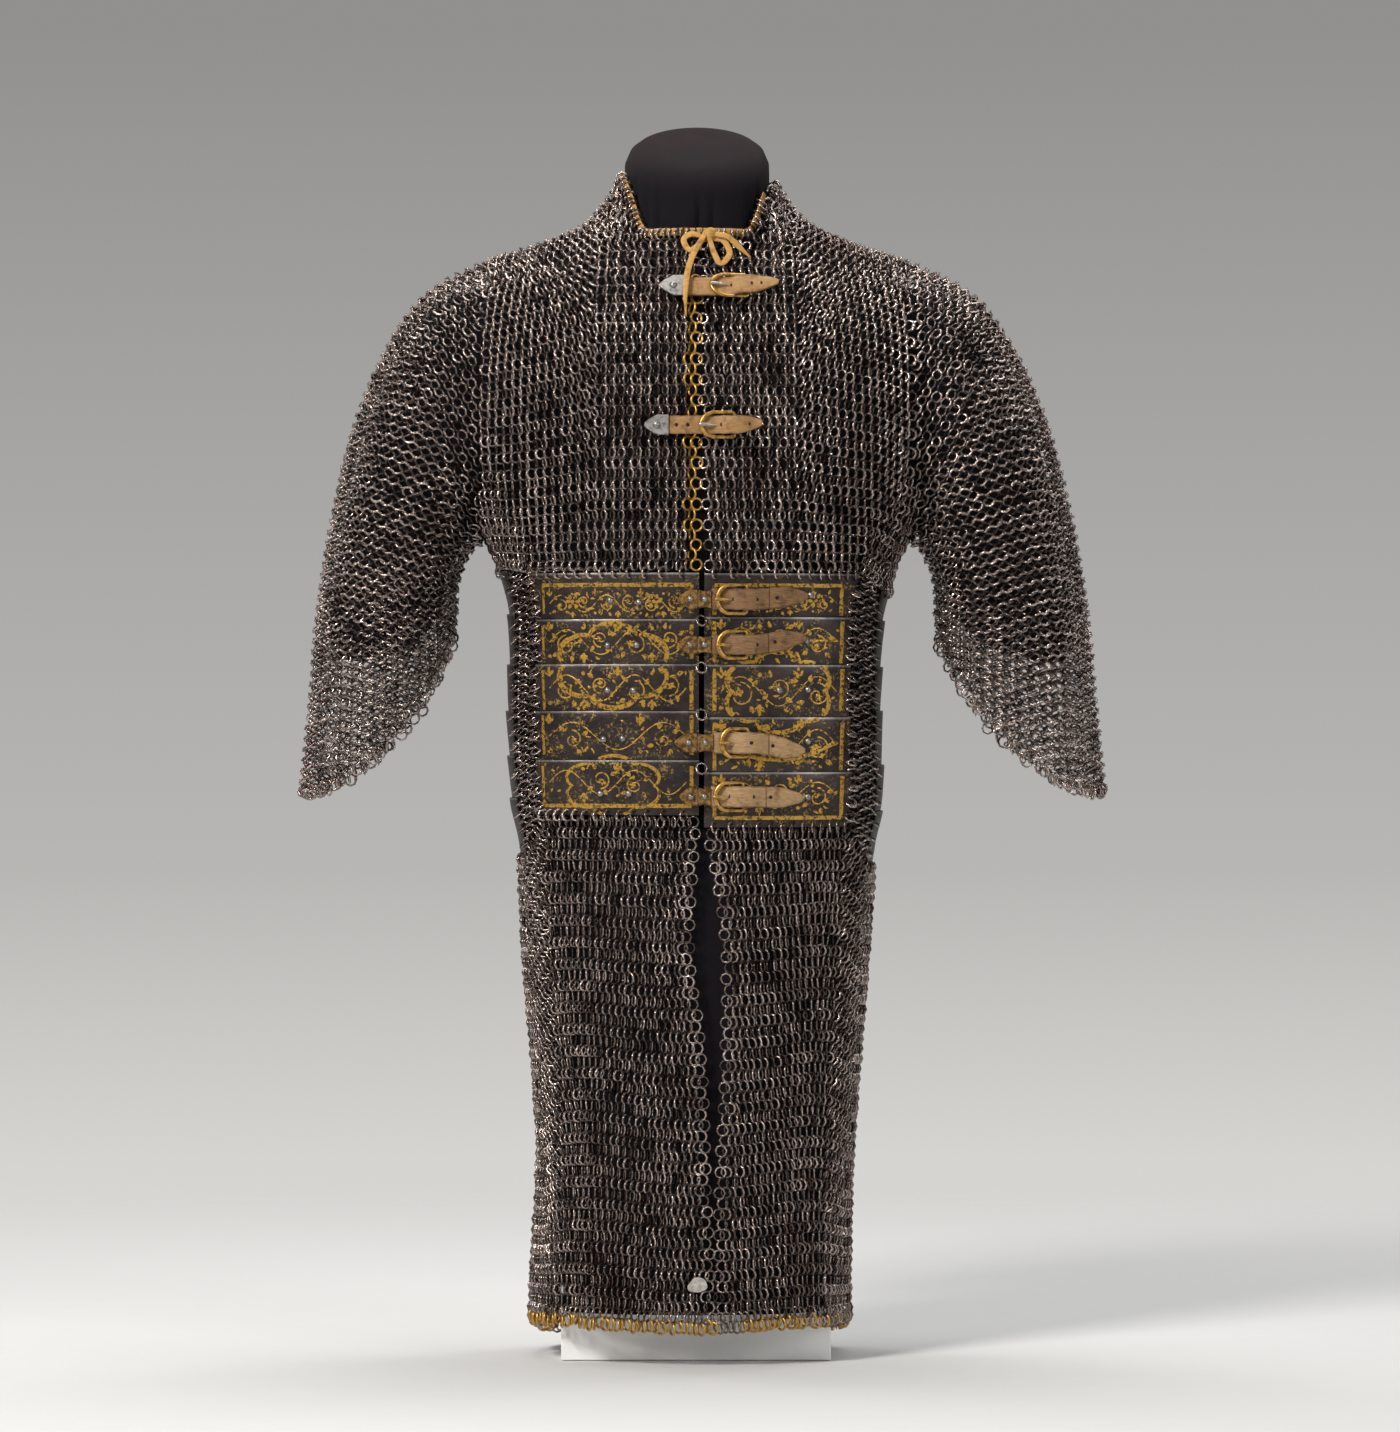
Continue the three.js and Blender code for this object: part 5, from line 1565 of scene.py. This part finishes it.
    def gild(self, side: Side) -> None:
        """Lays the strokes on the plates as low ridges, cut where one plate ends and the next begins."""
        points, faces = [], []
        total = 0
        inner, outer = sorted(side.sign * edge for edge in FRONT_EDGES[side])
        inner, outer = (inner + 2, outer - 3) if side is Side.RIGHT else (inner + 1.5, outer - 1)
        for ribbon in self.design(side).ribbons:
            line, half = ribbon.line, ribbon.half
            ahead = unit(np.gradient(line, axis=0))
            across = np.stack([-ahead[:, 1], ahead[:, 0]], axis=-1)
            for plate in self.front[side]:
                inside = ((line[:, 1] > plate.shown + 0.6) & (line[:, 1] < plate.top - 0.7)
                          & (line[:, 0] > inner) & (line[:, 0] < outer))
                turns = np.flatnonzero(np.diff(inside.astype(int))) + 1
                for stretch in np.split(np.arange(len(line)), turns):
                    if len(stretch) < 2 or not inside[stretch[0]]:
                        continue
                    rails = []
                    for way, lift in ((1, 0.03), (0, 0.16), (-1, 0.03)):
                        spot = line[stretch] + across[stretch] * (way * half[stretch])[:, None]
                        x = np.clip(spot[:, 0], inner, outer)
                        z = np.clip(spot[:, 1], plate.shown + 0.3, plate.top - 0.4)
                        rails.append(plate.point(SHAPE.angle_at(x, z), z, np.full(len(x), 0.7 + lift)))
                    points.append(np.concatenate(rails))
                    count = len(stretch)
                    step = np.arange(count - 1)
                    for rail in (0, 1):
                        a = total + rail * count + step
                        faces.append(np.stack([a, a + 1, a + count + 1, a + count], axis=-1))
                    total += 3 * count
        points = to_frame(np.concatenate(points))
        piece = Bench.mesh(f"plate_gilding_{side.value}", points, np.concatenate(faces))
        piece.data.flip_normals()
        Bench.seat(piece, GILDING, "gilt")


@dataclass(frozen=True)
class Fastening:
    """A strap with its buckle and pointed mount, in millimetres, as the solids have them."""

    name: str
    z: float
    tip: float
    end: float
    buckle: float
    width: float
    strap: float
    tail: float
    rise: float
    on_mail: bool
    holes: tuple[float, ...]
    leather: float = 2.2
    bar: float = 2.5
    thick: float = 1.8
    bow_lift: float = 3.4
    bar_lift: float = 1.4
    bow_share: float = 0.36
    point_length: float = 16.0

    @property
    def finish(self) -> WornLeather:
        """The strap's leather: light on the chest, dark on the upper plates, between them below."""
        if self.on_mail:
            return CHEST_LEATHER
        return UPPER_LEATHER if self.z > SHAPE.waist_z else WAIST_LEATHER

    @property
    def lift(self) -> float:
        """How far the underside of the strap is from the middle of the mail."""
        return 3.8 if self.on_mail else 3.6

    def strap_lift(self, x: Array) -> Array:
        """The strap's middle: under the buckle's bow, over its bar, then down to its tip."""
        low = self.lift + self.leather / 2
        high = low + self.bar_lift + self.thick + 0.6
        inner = self.buckle + self.width
        up = smooth(self.buckle + self.bow_share * self.width, inner - self.bar - 0.8, x)
        return mix(low, high, up * (1 - smooth(inner + 1, min(self.tail, inner + 16), x)))

    def strap_way(self, x: Array) -> tuple[Array, Array]:
        """Height and lift of the strap's middle, with the slight wave of its tail."""
        tail = smooth(self.buckle + self.width, self.tail, x)
        return self.z + self.rise * tail, self.strap_lift(x) + 0.25 * np.sin(x * 0.31 + self.z) * tail

    def build_strap(self) -> None:
        """The strap, with its punched holes."""
        def surface(u: Array, v: Array) -> Array:
            x = mix(self.end + 0.3, self.tail, u)
            taper = np.clip((self.tail - x) / self.point_length, 0, 1) ** 0.6
            half = self.strap / 2 * (0.16 + 0.84 * taper) * (1 + 0.02 * np.sin(x * 0.7))
            z, lift = self.strap_way(x)
            cup = 0.35 * (2 * v - 1) ** 2
            return SHAPE.on_front(x, z + (v - 0.5) * 2 * half, lift - cup)

        piece = Bench.panel(f"strap_{self.name}_leather", 72, 6, surface, self.leather, 0.45)
        Bench.seat(piece, self.finish, "strap_leather", f"strap_{self.name}")
        self.build_holes()

    def build_holes(self) -> None:
        """The shade in the strap's punched holes."""
        x = np.array(self.holes)
        z, lift = self.strap_way(x)
        low = SHAPE.on_front(x, z, lift + self.leather / 2)
        out = SHAPE.on_front(x, z, lift + self.leather / 2 + 1) - low
        Bench.clear()
        bpy.ops.mesh.primitive_cylinder_add(vertices=12, radius=1.4, depth=0.16)
        shade = Pattern.take().copies(f"strap_{self.name}_holes", Seats.facing(low, out, UP, 0.0))
        Bench.seat(shade, HOLE_SHADE, "strap_leather")

    def build_mount(self) -> None:
        """The pointed mount over the strap's riveted end."""
        half = self.strap / 2 + (0.7 if self.on_mail else -1.0)
        low, high = self.lift + self.leather / 2, self.lift + self.leather + 0.62

        def leather(u: Array, v: Array) -> Array:
            x = mix(self.tip + 5, self.end, u)
            wide = half - 0.9
            return SHAPE.on_front(x, self.z + (v - 0.5) * 2 * wide * np.minimum(1, 0.5 + u * 2), low + 0 * x)

        def section(start: float, end: float, pointed: bool) -> Surface:
            def surface(u: Array, v: Array) -> Array:
                x = mix(start, end, u)
                wide = half * (0.1 + 0.9 * np.minimum(1, u * 1.9) ** 0.72 if pointed else
                               1 - 0.14 * np.sin(math.pi * u))
                rim = 0.35 * np.abs(2 * v - 1) ** 6
                return SHAPE.on_front(x, self.z + (v - 0.5) * 2 * wide, high + rim)
            return surface

        split = mix(self.tip, self.end, 0.60)
        spans = [(self.tip, self.end, True)] if self.on_mail else [(self.tip, split - 0.7, True),
                                                                   (split + 0.7, self.end, False)]
        base = Bench.panel(f"mount_{self.name}_leather", 12, 4, leather, self.leather, 0.3)
        Bench.seat(base, WAIST_LEATHER, "strap_leather")
        plates = [Bench.panel("section", 18, 8, section(*span), 1.2, 0.3) for span in spans]
        finish, slot = (MOUNT_STEEL, "mount_steel") if self.on_mail else (GILT_MOUNT, "gilt")
        Bench.seat(Bench.join(f"mount_{self.name}_plate", plates), finish, slot, f"mount_{self.name}")
        x = mix(self.tip, self.end, np.array([0.5] if self.on_mail else [0.36, 0.8]))
        places = SHAPE.on_front(x, self.z, high + 0.5)
        seats = Seats.facing(places, SHAPE.on_front(x, self.z, high + 1.5) - places, UP, RIVET_TONE)
        rivets = Pattern.dome(3.0 if self.on_mail else 2.5, 2.4).copies(f"mount_{self.name}_rivets", seats)
        Bench.seat(rivets, RIVET_STEEL, "mount_steel")

    def frame_axes(self) -> tuple[Array, Array, Array, Array]:
        """The place and directions of the buckle, laid from its bow to its bar."""
        low, high = self.lift + self.bow_lift, self.lift + self.bar_lift
        place = SHAPE.on_front(self.buckle, self.z, low)
        across = unit(SHAPE.on_front(self.buckle + self.width, self.z, high) - place)
        above, below = (SHAPE.on_front(self.buckle, self.z + step, low) for step in (1, -1))
        up = unit(above - below)
        out = unit(np.cross(across, up))
        return place, across, np.cross(out, across), out

    def build_buckle(self) -> None:
        """The D-shaped frame, bent from one rod, and the tongue over its bow."""
        place, across, up, out = self.frame_axes()
        half = self.strap / 2 + 1.3 + self.bar / 2
        wide, shoulder = self.width - self.bar / 2, self.width * 0.34
        curve = np.linspace(0, 1, 12)[:, None]
        start, middle, end = [shoulder, -half], [self.bar / 2, -half * 0.72], [self.bar / 2 - 0.6, 0]
        low_bow = (1 - curve) ** 2 * start + 2 * curve * (1 - curve) * middle + curve ** 2 * end
        high_bow = low_bow[::-1] * [1, -1]
        line = np.concatenate([[[wide, -half + 1.2], [wide - 1.2, -half]], low_bow, high_bow[1:],
                               [[wide - 1.2, half], [wide, half - 1.2]]])
        closed = np.vstack([line, line[:1]])
        run = run_of(closed)
        Bench.clear()
        bpy.ops.mesh.primitive_torus_add(major_segments=64, minor_segments=10, major_radius=4, minor_radius=1)
        piece = Bench.new(f"buckle_{self.name}_frame")
        co = Bench.points(piece)
        share = (np.arctan2(co[:, 1], co[:, 0]) / (2 * math.pi)) % 1.0
        radial = np.hypot(co[:, 0], co[:, 1]) - 4
        at, near = (read_line(closed, run, (share + step) % 1 * run[-1]) for step in (0, 0.008))
        ahead = unit(near - at)
        side = np.stack([-ahead[:, 1], ahead[:, 0]], axis=-1)
        stout = 1.2 + 0.55 * np.exp(-(((at[:, 0] - 1.0) / 5.0) ** 2))
        flat = at - side * (radial * stout * 1.05)[:, None]
        height = self.thick / 2 + co[:, 2] * stout * 0.85
        Bench.move(piece, to_frame(place + flat[:, :1] * across + flat[:, 1:] * up + height[:, None] * out))
        Bench.outwards(piece, 60)
        Bench.seat(piece, BUCKLE_BRASS, "buckle_brass", f"buckle_{self.name}")
        self.build_tongue(place, across, up, out)

    def build_tongue(self, place: Array, across: Array, up: Array, out: Array) -> None:
        """The tongue, which rests on the bow; its tip is a small nub."""
        def surface(turn: Array, down: Array) -> Array:
            x = mix(-1.6, self.width * 0.52, down)
            thick = 1.15 * np.sin(math.pi * np.clip(down * 1.15, 0, 1) ** 0.55) ** 0.6 + 0.05
            arch = self.thick + 1.0 - 1.7 * smooth(0.35, 1.0, down)
            angle = turn * 2 * math.pi
            return (place + x[:, None] * across + (thick * np.sin(angle))[:, None] * up
                    + (arch + thick * 0.8 * np.cos(angle))[:, None] * out)

        tongue = Bench.ball(f"buckle_{self.name}_tongue", 10, 16, surface)
        Bench.seat(tongue, MOUNT_STEEL if self.on_mail else BUCKLE_BRASS, "buckle_brass")

    def build(self) -> None:
        """Makes the whole fastening."""
        self.build_mount()
        self.build_strap()
        self.build_buckle()


FASTENINGS = (
    Fastening("chest_upper", 803, -26.7, -7.4, 9.7, 29, 13.4, 60, 3.5, True, (25.1, 40.2, 50.0)),
    Fastening("chest_lower", 701, -38.6, -20.8, 2.3, 27, 13.4, 48.5, 1.5, True, (-15.2, -6.8, 18.3, 38.0)),
    Fastening("waist_1", 572, -13.3, 10.5, 14.2, 24, 16, 81, 2.5, False, (27.0, 43.4, 58.5)),
    Fastening("waist_2", 538, -14.1, 10.5, 14.9, 23.5, 15, 79.7, 5, False, (43.4, 57.0)),
    Fastening("waist_4", 465, -16.3, 12, 17.2, 22, 16, 79, -6, False, (39.6, 55.5)),
    Fastening("waist_5", 425, -12.6, 10, 12.7, 23, 15.5, 77.5, -1, False, (24.4, 41.0, 53.9)),
)


class Thong:
    """A flat leather thong that follows a line."""

    @staticmethod
    def build(name: str, line: Array, wide_way: Array, width: float, thickness: float,
              taper: tuple[float, float]) -> Piece:
        """Makes a thong.

        Args:
            name: The piece's name.
            line: Its middle line in millimetres.
            wide_way: The direction of its width at each point.
            width: Its width.
            thickness: Its thickness.
            taper: Its width at the start and the end, as shares.

        Returns:
            The piece.
        """
        ahead = unit(np.gradient(line, axis=0))
        flat = unit(np.cross(ahead, np.cross(wide_way, ahead)))
        out = np.cross(ahead, flat)

        def surface(turn: Array, down: Array) -> Array:
            share = np.clip((down - 0.03) / 0.94, 0, 1)
            at = np.linspace(0, 1, len(line))
            middle, wide, deep = (read_line(part, at, share) for part in (line, flat, out))
            close = np.sqrt(np.clip(np.minimum(down, 1 - down) / 0.03, 0, 1))
            first, last = smooth(0, 0.2, share), smooth(0.6, 1, share)
            girth = close * mix(taper[0], 1, first) * mix(1, taper[1], last)
            angle = turn * 2 * math.pi
            side = signed_power(np.cos(angle), 0.6) * girth * width / 2
            rise = signed_power(np.sin(angle), 0.8) * close * thickness / 2
            return middle + wide * side[:, None] + deep * rise[:, None]

        return Bench.ball(name, 12, 44, surface)


BOW_STRANDS = {
    "loop_left": ((5, 843, 9), (-3, 846, 8), (-9, 838, 8), (-5, 829, 8.5), (1, 833, 9.6), (6, 840, 9.8)),
    "loop_right": (
        (10, 842, 9), (18, 837, 8), (23, 827, 7.5), (17, 819, 7.5), (12, 826, 9), (8, 838, 10.5)),
    "tail_left": ((6, 840, 11), (-1, 826, 12), (-6, 812, 11), (-8, 796, 10.5), (-8, 780, 6.5)),
    "tail_right": ((10, 841, 11), (20, 838, 11.5), (29, 831, 9.5), (38, 824, 7)),
}


@dataclass(frozen=True)
class NeckLace:
    """The thong round the collar's front, tied in a bow: a knot, two loops and two free tails."""

    width: float = 5.6
    thick: float = 1.7
    above_collar: float = 7.4
    strand_width: float = 4.6
    strand_thick: float = 1.5

    @staticmethod
    def line(share: Array) -> tuple[Array, Array]:
        """The lace's middle line round the collar, and its direction."""
        def spot(part: Array) -> Array:
            x = mix(-57.0, 51.0, part)
            y = -np.sqrt(SHAPE.neck_ring ** 2 - x * x)
            return np.stack([x, y, SHAPE.top_z(x, False) + NeckLace.above_collar], axis=-1)

        return spot(share), spot(share + 0.01) - spot(share - 0.01)

    @staticmethod
    def through(points: Array, count: int) -> Array:
        """A smooth line through a few points, with even steps."""
        places = np.linspace(0, 1, len(points))
        share = np.linspace(0, 1, 200)
        fine = np.stack([Curve(tuple(places), tuple(points[:, axis]))(share) for axis in range(3)], axis=-1)
        run = run_of(fine)
        return read_line(fine, run, np.linspace(0, run[-1], count))

    def declare(self, piece: Piece, line: Array, width: float, far_end: str, lay: str,
                *nodes: str, **more: object) -> None:
        """Finishes a thong in lace leather and lets it stand for CAD nodes."""
        Bench.seat(piece, LACE_LEATHER, "lace_leather", *nodes)
        path = to_frame(line)

    def build(self) -> None:
        """Makes the lace and its bow."""
        share = np.linspace(0, 1, 36)
        line, _ = self.line(share)
        line = line + unit(line * [1, 1, 0]) * 0.5 * np.sin(share * 60)[:, None]
        thong = Thong.build("neck_lace_thong", line, UP, self.width, self.thick, (1, 1))
        self.declare(thong, line, self.width, "object", "hanging", "neck_lace")
        knot = self.build_knot()
        for name, rows in BOW_STRANDS.items():
            points = np.array(rows, float)
            spots = SHAPE.on_front(points[:, 0], points[:, 1], points[:, 2])
            line = self.through(spots, 30)
            wide = np.cross(np.gradient(line, axis=0), [0.0, -1.0, 0.45])
            loop = name.startswith("loop")
            piece = Thong.build(f"lace_{name}", line, wide, self.strand_width, self.strand_thick,
                                (0.8, 0.8 if loop else 0.35))
            more = {"with_pieces": [knot]} if name == "loop_left" else {}
            self.declare(piece, line, self.strand_width, "object" if loop else "bare", "hanging",
                         *(("lace_bow",) if name == "loop_left" else ()), **more)

    def build_knot(self) -> Piece:
        """The knot, a short turn of the thong over itself."""
        middle = SHAPE.on_front(8.0, 841.0, 9.5)

        def surface(turn: Array, down: Array) -> Array:
            angle, polar = turn * 2 * math.pi, down * math.pi
            ridge = 1 + 0.07 * np.cos(angle * 4)
            x = 5.2 * np.sin(polar) * np.cos(angle) * ridge
            y = 3.6 * np.sin(polar) * np.sin(angle) * ridge
            z = 5.4 * signed_power(np.cos(polar), 0.8)
            return middle + np.stack([x, y, z + 0.15 * x], axis=-1)

        return Bench.seat(Bench.ball("lace_knot", 20, 14, surface), LACE_LEATHER, "lace_leather")


@dataclass(frozen=True)
class DressForm:
    """The limbless dress form: a felt trunk with shoulders, a neck plug and padded sleeve supports."""

    plug_radius: float = 55.0
    plug_foot: float = 800.0
    plug_top: float = 917.0
    plug_tilt: float = 0.43
    cut_z: float = 848.0
    # Where the foot starts and how far it drops: a dark felt sheet standing for the shade inside the hem.
    foot_z: float = 62.0
    foot_drop: float = 20.0

    def build(self) -> None:
        """Makes the trunk and the plug, and covers the supports with felt."""
        self.build_trunk()
        self.build_plug()
        for side in Side:
            Bench.paint(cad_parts[f"form_sleeve_pad_{side.value}"], FELT)

    def build_trunk(self) -> None:
        """The trunk, from a merged copy of the solid that is cut off below the collar's edge; its foot is
        dropped over the block's top as a dark sheet that stands for the shade inside the shirt.
        """
        trunk = Bench.add("form_trunk_felt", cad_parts["form_torso"].data.copy())
        Bench.choose(trunk)
        bpy.ops.object.mode_set(mode="EDIT")
        bpy.ops.mesh.select_all(action="SELECT")
        bpy.ops.mesh.remove_doubles(threshold=1e-6)
        bpy.ops.mesh.bisect(plane_co=tuple(to_frame(np.array([0, 0, self.cut_z]))), plane_no=(0, 0, 1),
                            use_fill=True, clear_outer=True)
        bpy.ops.object.mode_set(mode="OBJECT")
        # The foot is dropped so that dark felt hangs over the block's top: a dark sheet standing for the
        # shade inside the hem.
        points = Bench.points(trunk)
        points[points[:, 2] < to_frame([0, 0, self.foot_z])[2], 2] -= self.foot_drop / 1000
        Bench.move(trunk, points)
        Bench.shade(trunk, 50)
        Bench.seat(trunk, FELT, "form_felt", "form_torso")

    def build_plug(self) -> None:
        """The padded plug: its felt is drawn in upright gathers below a rounded rim."""
        chance = np.random.default_rng(7)
        pleats = [(float(chance.uniform(0, 2 * math.pi)), float(chance.uniform(0.03, 0.055)),
                   float(chance.uniform(0.6, 2.2))) for _ in range(40)]

        def surface(turn: Array, down: Array) -> Array:
            angle = turn * 2 * math.pi
            top_share = np.clip(down / 0.36, 0, 1)
            side_share = np.clip((down - 0.36) / 0.56, 0, 1)
            rim = np.clip((down - 0.27) / 0.16, 0, 1)
            radius = np.where(down < 0.36, 0.94 * top_share, mix(0.94, 1.0, np.sin(rim * math.pi / 2)))
            radius = np.where(down > 0.93, np.maximum(0, (1 - down) / 0.07), radius)
            fold = np.zeros_like(angle)
            for at, wide, deep in pleats:
                away = (angle - at + math.pi) % (2 * math.pi) - math.pi
                fold += deep * np.exp(-((away / wide) ** 2))
            fade = smooth(0.0, 0.35, side_share) * (down < 0.93)
            reach = self.plug_radius * radius - fold * fade
            x, y = reach * np.sin(angle), -reach * np.cos(angle)
            soft = 7.0 * (1 - np.sqrt(np.maximum(0, 1 - np.clip((down - 0.24) / 0.12, 0, 1) ** 2)))
            top = self.plug_top + 2.0 * (1 - top_share ** 2) + y * math.tan(self.plug_tilt) - soft
            return np.stack([x, y, mix(top, self.plug_foot, side_share)], axis=-1)

        Bench.seat(Bench.ball("form_neck_plug", 220, 28, surface), FELT, "form_felt")


class Base:
    """The white block under the form, and the pale tin disc at the hem."""

    def build_block(self) -> None:
        """The painted block with eased edges."""
        Bench.clear()
        bpy.ops.mesh.primitive_cube_add(size=1)
        block = Bench.new("plinth_block_painted")
        Bench.move(block, to_frame(Bench.points(block) * np.array(BLOCK_SIZE) + np.array(BLOCK_MIDDLE)))
        Bench.apply(block, "BEVEL", width=0.0012, segments=3, limit_method="ANGLE")
        Bench.outwards(block, 30)
        Bench.seat(block, WHITE_PAINT, "plinth", "plinth_block")

    def build_tag(self) -> None:
        """The uneven disc that hangs in the rings."""
        chance = np.random.default_rng(3)
        wobble = [float(value) for value in chance.normal(0, 0.03, 5)]

        def surface(turn: Array, down: Array) -> Array:
            angle = turn * 2 * math.pi
            edge = 1 + sum(size * np.sin((number + 2) * angle) for number, size in enumerate(wobble))
            reach = np.sin(down * math.pi) ** 0.25 * edge
            face = np.where(down < 0.5, 1.0, -1.0) * np.abs(np.cos(down * math.pi)) ** 0.3
            x, z = 0.5 + 7.2 * reach * np.cos(angle), 61 + 5.6 * reach * np.sin(angle)
            return SHAPE.on_front(x, z, 4.9 + 0.65 * face + 0.3 * np.sin(x))

        Bench.seat(Bench.ball("hem_tag_tin", 28, 10, surface), TIN, "tag", "hem_tag")

    def build(self) -> None:
        """Makes both."""
        self.build_block()
        self.build_tag()


@dataclass(frozen=True)
class Studio:
    """The camera, the soft lights and the pale floor."""

    eye_x: float = 2.28
    eye_z: float = 484.9
    away: float = 4600.0
    lens: float = 155.6
    paper: tuple[Colour, Colour] = ((0.62, 0.62, 0.615), (0.60, 0.60, 0.595))
    backdrop: tuple[tuple[float, float], ...] = ((0.0, 0.86), (0.22, 0.80), (0.42, 0.52), (0.85, 0.31))

    def build_camera(self) -> None:
        """A level camera straight in front, as the photograph's."""
        data = bpy.data.cameras.new("studio camera")
        data.sensor_fit, data.sensor_width, data.lens = "HORIZONTAL", 36.0, self.lens
        camera = Bench.add("studio camera", data)
        camera.location = to_frame(np.array([self.eye_x, -self.away, self.eye_z]))
        camera.rotation_euler = (math.pi / 2, 0, 0)
        bpy.context.scene.camera = camera

    @staticmethod
    def light(name: str, place: Colour, target: Colour, size: tuple[float, float], watts: float,
              colour: Colour = (1.0, 1.0, 1.0)) -> None:
        """Hangs a soft box.

        Args:
            name: Its name.
            place: Where it hangs, in metres.
            target: Where it points.
            size: Its width and height in metres.
            watts: Its power.
            colour: Its colour.
        """
        data = bpy.data.lights.new(name, "AREA")
        data.shape, data.size, data.size_y = "RECTANGLE", *size
        data.energy, data.color = watts, colour
        lamp = Bench.add(name, data)
        out = unit(np.array(place) - np.array(target))
        across = unit(np.cross(UP, out))
        up = np.cross(out, across)
        turn = np.eye(4)
        turn[:3, 0], turn[:3, 1], turn[:3, 2], turn[:3, 3] = across, up, out, place
        lamp.matrix_world = Matrix(turn.tolist())

    def build_floor(self) -> None:
        """A pale floor whose far edge fades into the backdrop."""
        Bench.clear()
        bpy.ops.mesh.primitive_circle_add(vertices=96, radius=6.0, fill_type="NGON",
                                          location=(0, 0, -0.0004))
        floor = Bench.new("studio_floor")
        recipe = Recipe("pale studio paper")
        place = recipe.place()
        fine = recipe.noise(place, 40, 3)
        recipe.feed("Base Color", recipe.blend(recipe.spread(fine, 0.3, 0.7, 0.0, 0.4), *self.paper))
        recipe.feed("Roughness", 0.85)
        length = recipe.node("ShaderNodeVectorMath", {0: place}, operation="LENGTH").outputs["Value"]
        recipe.feed("Alpha", recipe.spread(length, 0.55, 2.1, 1.0, 0.0))
        floor.data.materials.append(recipe.material)

    def build_backdrop(self) -> None:
        """The grey of the studio beyond the floor, darker above."""
        world = bpy.data.worlds.new("studio backdrop")
        bpy.context.scene.world = world
        world.use_nodes = True
        nodes = Nodes(world.node_tree)
        ground = nodes.tree.nodes["Background"]
        place = nodes.node("ShaderNodeTexCoord").outputs["Generated"]
        height = nodes.node("ShaderNodeSeparateXYZ", {0: place}).outputs["Z"]
        share = nodes.node("ShaderNodeMapRange", {0: height, 1: -0.16, 2: 0.16}).outputs[0]
        ramp = nodes.node("ShaderNodeValToRGB", {0: share})
        while len(ramp.color_ramp.elements) < len(self.backdrop):
            ramp.color_ramp.elements.new(0.5)
        for stop, (at, grey) in zip(ramp.color_ramp.elements, self.backdrop):
            stop.position, stop.color = at, (grey, grey * 0.985, grey * 0.955, 1.0)
        nodes.tree.links.new(ramp.outputs[0], ground.inputs["Color"])
        sight = nodes.node("ShaderNodeLightPath").outputs["Is Camera Ray"]
        strength = nodes.node("ShaderNodeMapRange", {0: sight, 3: 0.42, 4: 0.92}).outputs[0]
        nodes.tree.links.new(strength, ground.inputs["Strength"])

    def build(self) -> None:
        """Sets up the studio."""
        self.build_floor()
        self.build_backdrop()
        bpy.context.scene.view_settings.view_transform = "Standard"
        self.light("key", (-1.7, -2.2, 2.4), (0, 0, 0.65), (0.8, 0.8), 120, (1.0, 0.97, 0.93))
        self.light("fill", (2.4, -2.4, 1.5), (0, 0, 0.6), (1.0, 1.2), 24)
        self.light("top", (0.1, 0.5, 2.7), (0, 0, 0.4), (2.0, 1.4), 48)
        self.light("rear left", (-2.1, 1.7, 1.7), (0, 0, 0.7), (0.8, 1.4), 16)
        self.light("rear right", (2.1, 1.7, 1.7), (0, 0, 0.7), (0.8, 1.4), 14)


def main() -> None:
    """Builds the studio, the lace and then the rest of the shirt."""
    logging.basicConfig(level=logging.INFO, format="%(name)s %(message)s")
    studio = Studio()
    studio.build_camera()
    NeckLace().build()
    DressForm().build()
    Base().build()
    MailShirt().build()
    WaistPlates().build()
    for fastening in FASTENINGS:
        fastening.build()
    studio.build()


if __name__ == "__main__":
    main()
